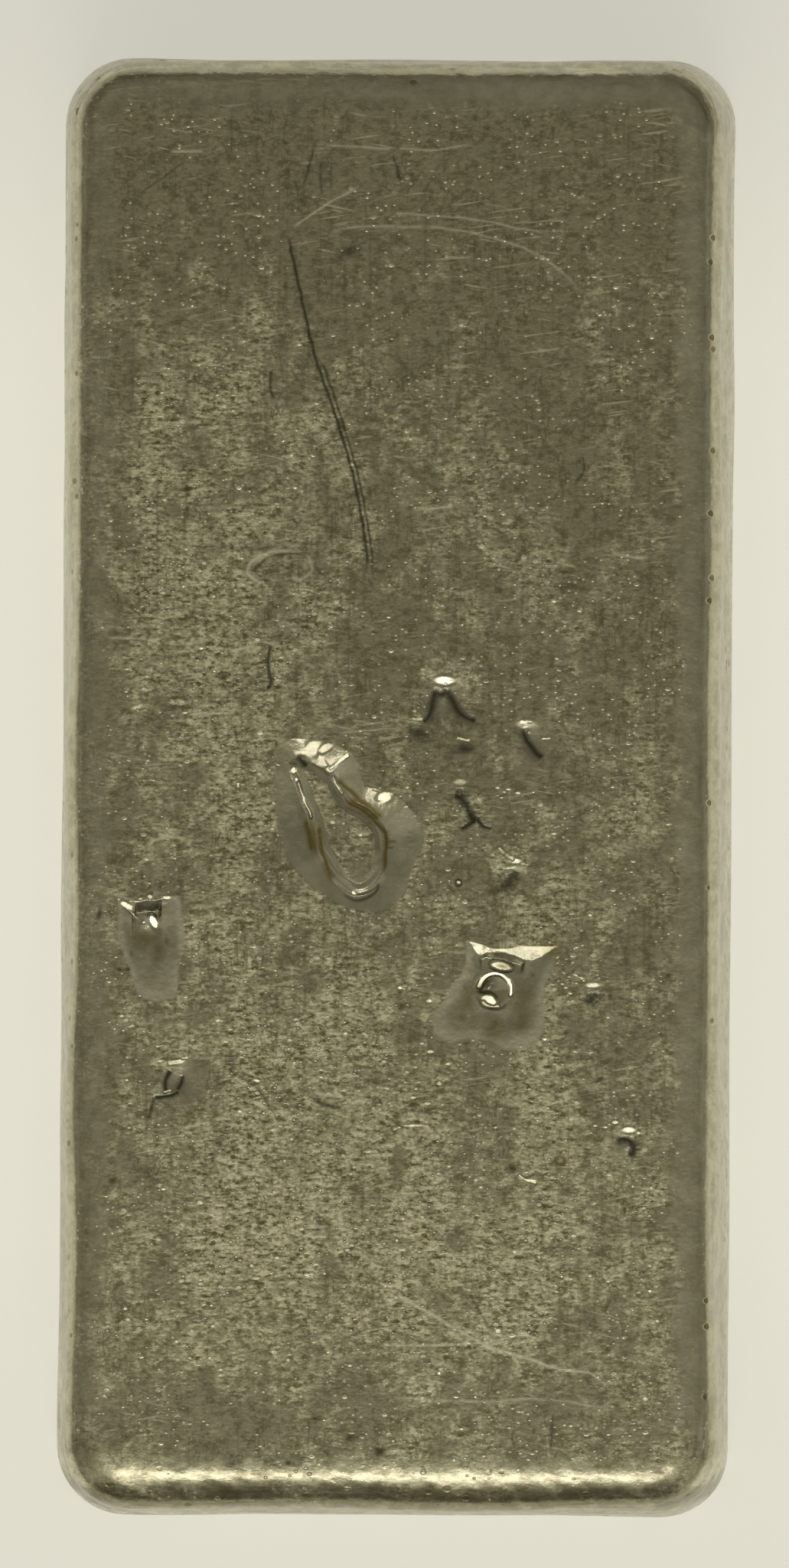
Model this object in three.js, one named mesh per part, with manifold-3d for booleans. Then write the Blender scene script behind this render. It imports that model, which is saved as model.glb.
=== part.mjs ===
// A small cast bullion bar: a drafted block of fine silver, tipped out of an open mould and lying on
// its pouring side. Its upper face is the mould side. Trapped gas and folded metal left smooth
// pockets in it: a tear-shaped moat round an island, a pocket with a crater and a pocket with a nub
// are the largest.
//
// Millimetres, +Z up. The origin is on the resting plane, under the middle of the bar. X is the
// bar's width and Y is its length.

import * as THREE from 'three';
import { mergeVertices } from 'three/addons/utils/BufferGeometryUtils.js';
import Module from 'manifold-3d';

const wasm = await Module();
wasm.setup();

// ---- Driving dimensions of the bar ----

const barLength = 50.0; // along Y, at the widest level
const barWidth = 23.1; // along X, at the widest level
const barHeight = 8.74; // from the resting plane to the flat of the face

const rimRadius = 0.8; // round edge of the pouring side
const sideDraft = 4.8; // degrees: the mould's taper on the long sides
const endDraft = 5.6; // degrees: the mould's taper on the two ends
const shoulderHeight = 1.35; // how far down the round shoulder reaches
const shoulderSide = 1.33; // how far in it reaches from a long side
const shoulderEnd = 1.7; // how far in it reaches from an end
const baseCorner = 2.3; // corner radius in plan at the widest level
const faceCorner = 1.6; // corner radius in plan of the flat face
const sideBow = 0.04; // how far a long side swells at its middle
const endBow = 0.12; // how far an end swells at its middle

// ---- Driving dimensions of the pockets ----
//
// An outline is a closed smooth curve through a few points, in millimetres from the pocket's own
// place. `place` counts from the centre of the face, or from one of its long edges.

const tear = {
  place: { from: 'centre', x: -1.5, y: -1.4 },
  rim: [
    [-2.3, 2.75], [-1.1, 2.95], [0.05, 2.5], [0.5, 1.5], [1.35, 1.15], [2.25, 0.4],
    [2.5, -0.7], [1.95, -1.9], [1.3, -2.7], [0.2, -2.85], [-1.0, -2.15], [-1.85, -1.2],
    [-2.4, 0.2], [-2.3, 1.6],
  ],
  // The bottom of the moat, point for point under the rim.
  bead: [
    [-1.75, 2.2], [-1.1, 2.1], [-0.5, 1.65], [0.05, 1.0], [0.6, 0.5], [1.1, 0.05],
    [1.28, -0.7], [1.1, -1.6], [0.6, -2.15], [-0.05, -2.15], [-0.6, -1.65], [-1.05, -0.85],
    [-1.3, 0.3], [-1.7, 1.5],
  ],
  // The island's edge, point for point inside the bottom.
  island: [
    [-1.45, 1.85], [-1.2, 1.75], [-0.65, 1.3], [-0.1, 0.7], [0.4, 0.3], [0.8, -0.1],
    [0.95, -0.7], [0.85, -1.35], [0.45, -1.85], [0.1, -1.8], [-0.3, -1.35], [-0.7, -0.7],
    [-1.0, 0.3], [-1.4, 1.4],
  ],
  depth: 0.34,
  beadRadius: 0.13,
};

const craterPocket = {
  place: { from: 'centre', x: 3.5, y: -6.9 },
  rim: [
    [-0.9, 1.6], [0.2, 1.48], [1.1, 1.58], [1.95, 1.5], [1.8, 0.3], [1.55, -1.3],
    [0.9, -1.85], [-0.4, -1.65], [-1.5, -1.75], [-2.1, -1.1], [-1.55, 0.2],
  ],
  lowest: [0.25, 0.95],
  depth: 0.3,
  crater: { x: -0.07, y: 0.1, level: 0.22, radius: 0.56, depth: 0.28, lip: 0.06 },
  nub: { x: -0.24, y: -0.14, radius: 0.27, proud: 0.24 },
};

const nubPocket = {
  place: { from: 'left', x: 1.55, y: -4.9 },
  rim: [
    [-1.05, 1.05], [-0.55, 0.98], [0.2, 1.18], [0.75, 1.1], [1.1, 0.2], [1.1, -0.8],
    [0.65, -2.0], [0.05, -2.3], [-0.6, -1.4], [-1.15, -0.4],
  ],
  lowest: [-0.05, 0.72],
  depth: 0.3,
  nub: { x: 0.05, y: 0.28, radius: 0.34, proud: 0.22 },
};

const dimples = [
  {
    name: 'arch',
    place: { from: 'centre', x: 1.65, y: 2.95 },
    rim: [[-0.4, 0.65], [0.1, 0.6], [0.5, 0.72], [0.75, 0], [0.5, -0.65], [-0.3, -0.7], [-0.65, 0]],
    lowest: [0, 0.3],
    depth: 0.15,
  },
  {
    name: 'slit',
    place: { from: 'centre', x: 4.6, y: 1.55 },
    rim: [[-0.5, 0.55], [0.3, 0.55], [0.4, 0.1], [0.5, -0.5], [0.05, -0.55], [-0.4, -0.1]],
    lowest: [0, 0.1],
    depth: 0.13,
  },
  {
    name: 'hook',
    place: { from: 'left', x: 2.4, y: -9.8 },
    rim: [
      [-0.35, 0.45], [0.35, 0.75], [0.7, 0.35], [0.75, -0.3], [0.1, -0.7], [-0.75, -1.15],
      [-0.8, -0.75], [-0.35, -0.3],
    ],
    lowest: [0.0, 0.1],
    depth: 0.15,
  },
  {
    name: 'crescent',
    place: { from: 'right', x: 1.75, y: -11.8 },
    rim: [[-0.55, 0.3], [0.2, 0.42], [0.5, 0.1], [0.35, -0.5], [0.05, -0.3], [-0.15, 0]],
    lowest: [0.15, 0.12],
    depth: 0.13,
  },
  {
    name: 'pit',
    place: { from: 'centre', x: 6.71, y: -6.85 },
    rim: [[-0.25, 0.25], [0.25, 0.25], [0.2, -0.3], [-0.2, -0.45]],
    lowest: [0, 0.08],
    depth: 0.12,
  },
  {
    name: 'slash',
    place: { from: 'centre', x: -2.15, y: -10.45 },
    rim: [[-0.55, 0.25], [0.1, 0.2], [0.6, 0.05], [0.4, -0.3], [-0.3, -0.25]],
    lowest: [0, 0],
    depth: 0.1,
  },
];

// ---- How finely curves are divided ----

const cornerSteps = 6;
const straightSteps = 6;
const rimSteps = 3;
const shoulderSteps = 6;
const moatPoints = 72;
const dishPoints = 36;
const beadSteps = 4;

// ---- Helpers ----

const radians = THREE.MathUtils.degToRad;
const lerp = THREE.MathUtils.lerp;

// Points along a closed smooth curve, with its outward normals. The given points run clockwise, and
// the result runs anticlockwise.
function closedCurve(points, count) {
  const knots = points.map(([x, y]) => new THREE.Vector3(x, y, 0)).reverse();
  const curve = new THREE.CatmullRomCurve3(knots, true, 'centripetal');
  const result = [];
  for (let k = 0; k < count; k += 1) {
    const at = curve.getPoint(k / count);
    const along = curve.getTangent(k / count);
    result.push({ x: at.x, y: at.y, outX: along.y, outY: -along.x });
  }
  return result;
}

// Rings with equally many points, skinned one to the next. The first and last rings are capped, or
// joined to each other when `looped`.
function skin(rings, looped = false) {
  const count = rings[0].length;
  const positions = rings.flat().flatMap((point) => [point.x, point.y, point.z]);
  const index = [];
  const strips = looped ? rings.length : rings.length - 1;
  for (let r = 0; r < strips; r += 1) {
    const low = r * count;
    const high = ((r + 1) % rings.length) * count;
    for (let k = 0; k < count; k += 1) {
      const next = (k + 1) % count;
      index.push(low + k, low + next, high + next);
      index.push(low + k, high + next, high + k);
    }
  }
  if (!looped) {
    const last = (rings.length - 1) * count;
    const triangles = (ring) =>
      THREE.ShapeUtils.triangulateShape(ring.map((p) => new THREE.Vector2(p.x, p.y)), []);
    for (const [a, b, c] of triangles(rings[0])) index.push(c, b, a);
    for (const [a, b, c] of triangles(rings.at(-1))) index.push(last + a, last + b, last + c);
  }
  const geometry = new THREE.BufferGeometry();
  geometry.setAttribute('position', new THREE.Float32BufferAttribute(positions, 3));
  geometry.setIndex(index);
  return geometry;
}

// A closed three.js geometry as a solid that can be cut and joined. A body skinned inside out is
// turned the right way first.
function solid(geometry) {
  const bare = geometry.clone();
  bare.deleteAttribute('normal');
  bare.deleteAttribute('uv');
  const merged = mergeVertices(bare, 1e-5);
  const make = (triVerts) =>
    new wasm.Manifold(
      new wasm.Mesh({
        numProp: 3,
        vertProperties: new Float32Array(merged.attributes.position.array),
        triVerts,
      }),
    );
  const triangles = new Uint32Array(merged.index.array);
  const body = make(triangles);
  return body.volume() > 0 ? body : make(triangles.reverse());
}

// ---- The bar's form ----

// One level of the bar in plan: a rectangle with round corners whose four sides swell a little. It
// starts on the right side and runs anticlockwise.
function planLevel(insetX, insetY, corner, z) {
  const halfX = barWidth / 2 - sideBow - insetX - corner;
  const halfY = barLength / 2 - endBow - insetY - corner;
  const centres = [[1, 1], [-1, 1], [-1, -1], [1, -1]].map(([signX, signY]) => [
    signX * halfX,
    signY * halfY,
  ]);
  const ring = [];
  for (let side = 0; side < 4; side += 1) {
    const outX = [1, 0, -1, 0][side];
    const outY = [0, 1, 0, -1][side];
    const bow = side % 2 === 0 ? sideBow : endBow;
    const [fromX, fromY] = centres[(side + 3) % 4];
    const [toX, toY] = centres[side];
    for (let k = 0; k < straightSteps; k += 1) {
      const share = k / straightSteps;
      const out = corner + 4 * bow * share * (1 - share);
      ring.push({
        x: lerp(fromX, toX, share) + outX * out,
        y: lerp(fromY, toY, share) + outY * out,
        z,
      });
    }
    for (let k = 0; k < cornerSteps; k += 1) {
      const angle = radians(90 * (side + k / cornerSteps));
      ring.push({ x: toX + corner * Math.cos(angle), y: toY + corner * Math.sin(angle), z });
    }
  }
  return ring;
}

// Where the shoulder takes over from the flank, its slope is the flank's.
const shoulderStart = Math.atan(Math.tan(radians(sideDraft)) * (shoulderHeight / shoulderSide));
const flankTop = barHeight - shoulderHeight * (1 - Math.sin(shoulderStart));
const flankInsetX = (flankTop - rimRadius) * Math.tan(radians(sideDraft));
const flankInsetY = (flankTop - rimRadius) * Math.tan(radians(endDraft));
const faceInsetX = flankInsetX + shoulderSide * Math.cos(shoulderStart);
const faceHalfWidth = barWidth / 2 - faceInsetX;

function cornerAt(insetX) {
  return lerp(baseCorner, faceCorner, insetX / faceInsetX);
}

function castBlock() {
  const levels = [];
  for (let k = 0; k <= rimSteps; k += 1) {
    const angle = radians((90 * k) / rimSteps);
    const inset = rimRadius * (1 - Math.sin(angle));
    levels.push(planLevel(inset, inset, baseCorner - inset, rimRadius * (1 - Math.cos(angle))));
  }
  for (let k = 0; k <= shoulderSteps; k += 1) {
    const angle = lerp(shoulderStart, Math.PI / 2, k / shoulderSteps);
    const round = Math.cos(shoulderStart) - Math.cos(angle);
    const insetX = flankInsetX + shoulderSide * round;
    const insetY = flankInsetY + shoulderEnd * round;
    const z = barHeight - shoulderHeight * (1 - Math.sin(angle));
    levels.push(planLevel(insetX, insetY, cornerAt(insetX), z));
  }
  return solid(skin(levels));
}

// ---- The pockets ----

// The middle of a pocket on the face.
function middle(place) {
  const start = { centre: 0, left: -faceHalfWidth, right: faceHalfWidth }[place.from];
  const inward = place.from === 'right' ? -1 : 1;
  return { x: start + inward * place.x, y: place.y };
}

// How deep a smooth wall lies at a share of the way from the rim, 0, to the floor, 1. Before the rim
// the same curve rises above the face, so a tool made with it meets the face cleanly.
function wallDepth(share, depth) {
  return depth * Math.sin((share * Math.PI) / 2);
}

const overRim = -0.15; // share of the wall by which a tool stands out over the rim
const wallShares = [overRim, 0.12, 0.3, 0.52, 0.76];

// A dished pocket, as the body that is cut away. The wall runs from the rim to the lowest point.
function dish({ place, rim, lowest, depth }) {
  const at = middle(place);
  const outline = closedCurve(rim, dishPoints);
  const rings = [...wallShares, 0.94].map((share) =>
    outline.map((point) => ({
      x: at.x + lerp(point.x, lowest[0], share),
      y: at.y + lerp(point.y, lowest[1], share),
      z: barHeight - wallDepth(share, depth),
    })),
  );
  return solid(skin(rings));
}

// The moat, as the body that is cut away: a smooth wall down from the rim, a round bead along the
// bottom, and a wall up to the island.
function moat({ place, rim, bead, island, depth, beadRadius }) {
  const at = middle(place);
  const crest = closedCurve(bead, moatPoints);
  const beadLine = (distance, z) =>
    crest.map((p) => ({ x: at.x + p.x + distance * p.outX, y: at.y + p.y + distance * p.outY, z }));
  const wallLine = (edge, foot, share) =>
    edge.map((point, k) => ({
      x: lerp(at.x + point.x, foot[k].x, share),
      y: lerp(at.y + point.y, foot[k].y, share),
      z: barHeight - wallDepth(share, depth),
    }));
  const floor = barHeight - depth;
  const outerFoot = beadLine(beadRadius, floor);
  const outer = wallShares.map((share) => wallLine(closedCurve(rim, moatPoints), outerFoot, share));
  const round = [];
  for (let k = 0; k <= beadSteps; k += 1) {
    const angle = (Math.PI * k) / beadSteps;
    const z = floor + beadRadius * Math.sin(angle);
    round.push(beadLine(beadRadius * Math.cos(angle), z));
  }
  const innerFoot = beadLine(-beadRadius, floor);
  const inner = [0.6, 0.25, overRim].map((share) =>
    wallLine(closedCurve(island, moatPoints), innerFoot, share),
  );
  return solid(skin([...outer, ...round, ...inner], true));
}

// A round nub of metal that stands proud of a pocket's floor by less than its radius.
function nub(at, { x, y, radius, proud }, floor) {
  const ball = new THREE.SphereGeometry(radius, 16, 10);
  ball.translate(at.x + x, at.y + y, floor + proud - radius);
  return solid(ball);
}

// The crater's raised lip and the hollow inside it. The lathe turns about Y, so each is laid over.
function turned(profile, at, { x, y }, z) {
  const body = new THREE.LatheGeometry(profile, 28);
  body.rotateX(Math.PI / 2);
  body.translate(at.x + x, at.y + y, z);
  return solid(body);
}

function craterLip({ radius, lip }) {
  const profile = [];
  for (let k = 0; k <= 8; k += 1) {
    const angle = (2 * Math.PI * k) / 8;
    profile.push(new THREE.Vector2(radius + lip * Math.cos(angle), lip * Math.sin(angle)));
  }
  return profile;
}

function craterHollow({ radius, depth }) {
  const profile = [new THREE.Vector2(0, depth)];
  for (let k = 0; k <= 5; k += 1) {
    const angle = radians((90 * k) / 5);
    profile.push(new THREE.Vector2(radius * Math.cos(angle), -depth * Math.sin(angle)));
  }
  profile[1 + 5].x = 0;
  profile.splice(1, 0, new THREE.Vector2(radius, depth));
  return profile;
}

// ---- The bar ----

function castBar() {
  let bar = castBlock().subtract(moat(tear));
  for (const dimple of dimples) bar = bar.subtract(dish(dimple));

  const craterAt = middle(craterPocket.place);
  const { crater } = craterPocket;
  const craterFloor = barHeight - crater.level;
  bar = bar.subtract(dish(craterPocket));
  bar = bar.add(turned(craterLip(crater), craterAt, crater, craterFloor));
  bar = bar.subtract(turned(craterHollow(crater), craterAt, crater, craterFloor));
  bar = bar.add(nub(craterAt, craterPocket.nub, craterFloor - crater.depth));

  bar = bar.subtract(dish(nubPocket));
  bar = bar.add(nub(middle(nubPocket.place), nubPocket.nub, barHeight - nubPocket.depth));
  return bar;
}

function asMesh(name, body, material) {
  const { vertProperties, triVerts } = body.getMesh();
  const geometry = new THREE.BufferGeometry();
  geometry.setAttribute('position', new THREE.BufferAttribute(vertProperties, 3));
  geometry.setIndex(new THREE.BufferAttribute(triVerts, 1));
  geometry.computeVertexNormals();
  const mesh = new THREE.Mesh(geometry, material);
  mesh.name = name;
  return mesh;
}

const tarnishedSilver = new THREE.MeshStandardMaterial({
  color: 0xa9a48c,
  metalness: 1,
  roughness: 0.35,
});

const object = new THREE.Group();
object.add(asMesh('ingot', castBar(), tarnishedSilver));

export default object;
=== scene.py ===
# %% [markdown]
# # A cast silver bar, mould side up
#
# The object is one small bar of fine silver, 100 grams, that was poured in an open mould and tipped
# out. It lies on its pouring side, so the mould's print shows: a flat face with a grey, finely nicked
# skin, round shoulders, slightly tapered flanks, and a few smooth pockets where gas was caught.
#
# One frame carries the CAD model. It is loaded first, and the bar is then modelled over it at the
# same place and size. Modelling goes on in millimetres, because steps of 0.1 read better than steps
# of 0.0001, and the finished bar is brought to metres at the end.

from math import cos, pi, radians, sin, sqrt, tan

import bpy
import numpy as np
from mathutils import Matrix, Vector


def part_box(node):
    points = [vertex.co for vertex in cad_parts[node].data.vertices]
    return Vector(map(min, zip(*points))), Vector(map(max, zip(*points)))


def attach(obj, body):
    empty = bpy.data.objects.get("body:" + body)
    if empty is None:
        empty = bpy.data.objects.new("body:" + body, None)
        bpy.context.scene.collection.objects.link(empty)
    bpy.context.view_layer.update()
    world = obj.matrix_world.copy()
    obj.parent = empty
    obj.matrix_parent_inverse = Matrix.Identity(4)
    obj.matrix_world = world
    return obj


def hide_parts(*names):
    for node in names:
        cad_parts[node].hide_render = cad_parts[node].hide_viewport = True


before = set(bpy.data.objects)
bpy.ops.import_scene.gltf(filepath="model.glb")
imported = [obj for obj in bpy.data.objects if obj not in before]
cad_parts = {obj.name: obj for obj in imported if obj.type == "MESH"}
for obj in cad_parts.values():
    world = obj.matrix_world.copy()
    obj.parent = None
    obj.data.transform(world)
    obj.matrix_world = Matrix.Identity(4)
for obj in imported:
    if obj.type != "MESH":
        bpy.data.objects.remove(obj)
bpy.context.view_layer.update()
low, high = (np.array(corner) * 1000 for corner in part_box("ingot"))
WIDTH, LENGTH, HEIGHT = high - low
print("the bar in millimetres:", WIDTH.round(2), LENGTH.round(2), HEIGHT.round(2))

# %% [markdown]
# ## The block
#
# A mould has sides that lean out, so that the bar falls out of it. A cube at the bar's size is the
# start. Its four upright edges are rounded, and its top is drawn in to give the taper. The cube is a
# little wider at the table, because the bar's widest level lies just over its round lower edge.

# %% Start from a box
SIDE_DRAFT = radians(4.8)
END_DRAFT = radians(5.6)
RIM = 0.8
SHOULDER_DEEP = 1.35
SHOULDER_END = 1.5
CORNER = 2.35
CORNER_STEPS, SHOULDER_STEPS, RIM_STEPS = 10, 16, 4
NEAR_LEVEL, ON_LEVEL = 0.01, 0.001  # how far from a level something may lie and still count as on it


def edit(kind="FACE"):
    bpy.ops.object.mode_set(mode="EDIT")
    bpy.ops.mesh.select_mode(type=kind)


def rest():
    bpy.ops.object.mode_set(mode="OBJECT")


bpy.ops.object.select_all(action="DESELECT")
widest = RIM * (1 - sin(SIDE_DRAFT))
foot_x = WIDTH + 2 * widest * tan(SIDE_DRAFT)
foot_y = LENGTH + 2 * widest * tan(END_DRAFT)
bpy.ops.mesh.primitive_cube_add(size=1, location=(0, 0, HEIGHT / 2))
ingot = bpy.context.object
ingot.name = "ingot_casting"
ingot.scale = (foot_x, foot_y, HEIGHT)
bpy.ops.object.transform_apply(location=True, rotation=True, scale=True)
print("box at the table:", round(foot_x, 2), round(foot_y, 2))


# %% Choose by place, round the corners and draw in the top
def numbers(items, name, width):
    """One property of all vertices, edges or faces, as an array."""
    found = np.empty(len(items) * width)
    items.foreach_get(name, found)
    return found.reshape(-1, width)


def choose(kind, test):
    """Selects the faces or edges whose middle passes a test of x, y and z."""
    rest()
    mesh = ingot.data
    if kind == "EDGE":
        items = mesh.edges
        ends = numbers(items, "vertices", 2).astype(int)
        middles = numbers(mesh.vertices, "co", 3)[ends].mean(1)
    else:
        items = mesh.polygons
        middles = numbers(items, "center", 3)
    edit(kind)
    bpy.ops.mesh.select_all(action="DESELECT")
    rest()
    picked = test(*middles.T)
    items.foreach_set("select", picked)
    edit(kind)
    return int(picked.sum())


def stretch(x, y):
    """Resizes what is selected about the bar's upright middle line."""
    bpy.ops.transform.resize(value=(x, y, 1), center_override=(0, 0, 0))


def on_top(x, y, z):
    return z > HEIGHT - NEAR_LEVEL


choose("EDGE", lambda x, y, z: abs(z - HEIGHT / 2) < NEAR_LEVEL)
bpy.ops.mesh.bevel(offset=CORNER, segments=CORNER_STEPS, affect="EDGES")
top_x = foot_x - 2 * HEIGHT * tan(SIDE_DRAFT)
top_y = foot_y - 2 * HEIGHT * tan(END_DRAFT)
choose("FACE", on_top)
stretch(top_x / foot_x, top_y / foot_y)
print("box at the top:", round(top_x, 2), round(top_y, 2))

# %% Round the shoulder and the lower edge
SQUEEZE = SHOULDER_DEEP / SHOULDER_END

bpy.ops.mesh.select_all(action="SELECT")
stretch(1, SQUEEZE)
choose("EDGE", on_top)
bpy.ops.mesh.bevel(offset=SHOULDER_DEEP, segments=SHOULDER_STEPS, affect="EDGES", clamp_overlap=False)
bpy.ops.mesh.select_all(action="SELECT")
stretch(1, 1 / SQUEEZE)
choose("EDGE", lambda x, y, z: z < NEAR_LEVEL)
bpy.ops.mesh.bevel(offset=RIM, segments=RIM_STEPS, affect="EDGES")
rest()
corners = numbers(ingot.data.vertices, "co", 3)
FACE_HALF = corners[corners[:, 2] > HEIGHT - ON_LEVEL, :2].max(0)
FACE_CORNER = 1.0
print("half sizes of the flat face:", FACE_HALF.round(2))
print("faces after rounding:", len(ingot.data.polygons))

# %% [markdown]
# The face will be pressed with small marks, so it needs a grid of cells. Straight cuts give it one.
# The underside stays plain, and is hidden while the cuts are made. The flanks need fewer cuts.

# %% Cut a fine grid
GRID = 0.36
FLANK_STEP = 0.9


def cut(normal, places):
    """Bisects all that shows, once at each place along a normal."""
    bpy.ops.mesh.select_all(action="SELECT")
    for place in places:
        bpy.ops.mesh.bisect(plane_co=Vector(normal) * place, plane_no=normal, threshold=1e-6)
        bpy.ops.mesh.select_all(action="SELECT")


choose("FACE", lambda x, y, z: z < ON_LEVEL)
bpy.ops.mesh.hide()
for normal, size in (((1, 0, 0), WIDTH), ((0, 1, 0), LENGTH)):
    cells = int(size / GRID / 2)
    cut(normal, [k * GRID for k in range(-cells, cells + 1)])
cut((0, 0, 1), np.arange(RIM + 0.7, HEIGHT - SHOULDER_DEEP, FLANK_STEP))
bpy.ops.mesh.reveal()
rest()
print("faces after cutting:", len(ingot.data.polygons))

# %% [markdown]
# ## Lines drawn on the face
#
# Gas and dirt in the mould left pockets, folds and beads all over the face. In a sculpting program
# they would be pressed in with brushes. A script has no brush, so each mark is drawn as a line or an
# outline through a few points, in millimetres from the bar's middle, and pressed in along it. That
# keeps every mark the right size, and the same on every run. First come the small helpers for that:
# a smooth line through points, an oval ring, a soft step, and a table to read a value from.

# %% Smooth lines, rings, soft steps and tables
def smooth_line(points, steps=8, closed=False):
    """A smooth line through a few points, with as many numbers each as they have."""
    p = np.array(points, float)
    if len(p) < 3:
        return p
    p = np.vstack([p[-1], p, p[0], p[1]] if closed else [2 * p[0] - p[1], p, 2 * p[-1] - p[-2]])
    t = np.linspace(0, 1, steps, endpoint=False)[:, None]
    parts = [
        0.5 * (2 * b + (c - a) * t + (2 * a - 5 * b + 4 * c - d) * t**2
               + (3 * b - a - 3 * c + d) * t**3)
        for a, b, c, d in zip(p, p[1:], p[2:], p[3:])
    ]
    return np.vstack(parts if closed else [*parts, p[-2]])


def ring(at, size, turn=0, count=16):
    """Points of an ellipse."""
    a = np.linspace(0, 2 * pi, count, endpoint=False)
    c, s = cos(radians(turn)), sin(radians(turn))
    x, y = size[0] * np.cos(a), size[1] * np.sin(a)
    return list(zip(at[0] + c * x - s * y, at[1] + s * x + c * y))


def ramp(value, start, end):
    """0 before start and 1 after end, smoothly."""
    t = np.clip((value - start) / (end - start), 0, 1)
    return t * t * (3 - 2 * t)


def curve(value, table):
    """Reads a table of (place, value) pairs, with straight lines between them."""
    x, y = np.array(table, float).T
    return np.interp(value, x, y)


# %% [markdown]
# To press along a line, each spot of the face has to know how far away the line is. To fill an
# outline, it has to know whether it lies inside. These helpers answer that for thousands of spots at
# once, which is what numpy is for.

# %% How far, how deep inside
def nearest(q, line, closed=False):
    """Each spot's distance to a line, and the share of the line's length passed there."""
    starts = line if closed else line[:-1]
    ends = np.roll(line, -1, 0) if closed else line[1:]
    lengths = np.linalg.norm(ends - starts, axis=1)
    passed = np.append(0, np.cumsum(lengths))
    best, share = np.full(len(q), np.inf), np.zeros(len(q))
    for k, (a, b) in enumerate(zip(starts, ends)):
        along = np.clip((q - a) @ (b - a) / lengths[k] ** 2, 0, 1)
        away = np.linalg.norm(q - a - along[:, None] * (b - a), axis=1)
        closer = away < best
        best[closer] = away[closer]
        share[closer] = (passed[k] + along[closer] * lengths[k]) / passed[-1]
    return best, share


def inside(q, loop):
    """Whether each spot lies inside a closed line."""
    hit = np.zeros(len(q), bool)
    for (ax, ay), (bx, by) in zip(loop, np.roll(loop, -1, 0)):
        if ay != by:
            crosses = (ay > q[:, 1]) != (by > q[:, 1])
            hit ^= crosses & (q[:, 0] < (bx - ax) * (q[:, 1] - ay) / (by - ay) + ax)
    return hit


def local(q, at, size, turn=0):
    """Places measured from at, in half sizes, along axes turned by so many degrees."""
    c, s = cos(radians(turn)), sin(radians(turn))
    return (q - at) @ np.array([[c, -s], [s, c]]) / size


def share_in(q, rim, lowest):
    """1 at a pocket's lowest point, 0 on its rim and below 0 outside."""
    loop = smooth_line(rim, closed=True) - lowest
    turn = np.arctan2(*loop.T[::-1])
    order = np.argsort(turn)
    reach = np.linalg.norm(loop, axis=1)[order]
    away = q - lowest
    reach = np.interp(np.arctan2(*away.T[::-1]), turn[order], reach, period=2 * pi)
    return 1 - np.linalg.norm(away, axis=1) / reach


# %% [markdown]
# Nothing cast is ruled straight. A few waves of about one length, laid in random directions, give a
# gentle unevenness that never repeats. The random numbers start from a fixed seed, so the bar comes
# out the same each time.

# %% Gentle unevenness
def wobble(q, waves, size, seed):
    """A gentle random shift of every place, from a few waves of about one length."""
    rng = np.random.default_rng(seed)
    total = np.zeros(q.shape)
    for wave in waves:
        for axis in range(2):
            turn, phase = rng.uniform(0, 2 * pi, 2)
            total[:, axis] += np.sin((q @ (cos(turn), sin(turn))) * 2 * pi / wave + phase)
    return size * total / sqrt(len(waves))


# %% [markdown]
# ## A skin to press and paint
#
# The skin is kept apart from the mesh: a list of spots, each with a height and with its share of a
# few paint layers. *tone* says how open the grain is, and also carries painted shade and light from
# one end of the face to the other. *gloss* says where metal froze smooth. A dark layer holds dirt
# caught in folds together with painted shade in hollows and creases, *oxide* says where it is
# tarnished brown, and a bright layer holds polished scratches together with painted highlights. The
# same drawing can then be asked twice: once to find out where the mesh needs small cells, and once
# to move the real vertices.

# %% Spots, heights and layers
COATS = ("tone", "gloss", "dirt_and_shade", "oxide", "scour_and_highlight")
# shapes are looked up at places shifted a little, so that no edge comes out ruled: waves, size, seed
WANDER = (1.3, 0.9, 0.7, 0.55), 0.016, 1
SHIVER = (0.27, 0.21, 0.17, 0.14, 0.11), 0.0025, 2
FADED = 3  # a soft stroke is gone at three times its width
FIRST = -0.02  # an end's fade starts a little before the line does


class Skin:
    """Spots on the face, each with a height and its share of each colour layer."""

    def __init__(self, spots):
        self.spots = spots
        self.seen = spots + wobble(spots, *WANDER)
        self.seen += wobble(spots, *SHIVER)
        self.high = np.zeros(len(spots))
        self.coat = {name: np.zeros(len(spots)) for name in COATS}

    def close_to(self, points, margin):
        """The numbers of the spots in the box round some points."""
        p = np.array(points, float)
        near = (self.seen > p.min(0) - margin) & (self.seen < p.max(0) + margin)
        return np.flatnonzero(near.all(1))

    def line(self, points, width, ends, closed=False):
        """The spots round a line, and 1 on the line falling to 0 beside it and at its ends."""
        k = self.close_to(points, FADED * width)
        away, share = nearest(self.seen[k], smooth_line(points, closed=closed), closed)
        fade = 1 if closed else ramp(share, FIRST, ends) * ramp(1 - share, FIRST, ends)
        return k, np.exp(-((away / width) ** 2)) * fade

    def spot(self, at, size, turn=0):
        """The spots round a place, and 1 there falling to 0 round it."""
        k = self.close_to([at], FADED * max(size))
        return k, np.exp(-(local(self.seen[k], at, size, turn) ** 2).sum(1))


# %% [markdown]
# Four ways to press: a groove along a line, a round dimple, and a small flat plane, as an oval facet
# or as a ledge along a line. The planes matter most. Polished metal is only bright where it is
# tilted towards a lamp, so each bright corner of a real mark is a little plane with one slope.

# %% Pressing
# a plane is whole up to CORE times its size, and gone at OUTER times, which lies within REACH
CORE, OUTER, REACH = 0.75, 1.35, 1.6
SLOPE = 0.27  # the slope that mirrors the middle of the lamp to the camera


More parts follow.
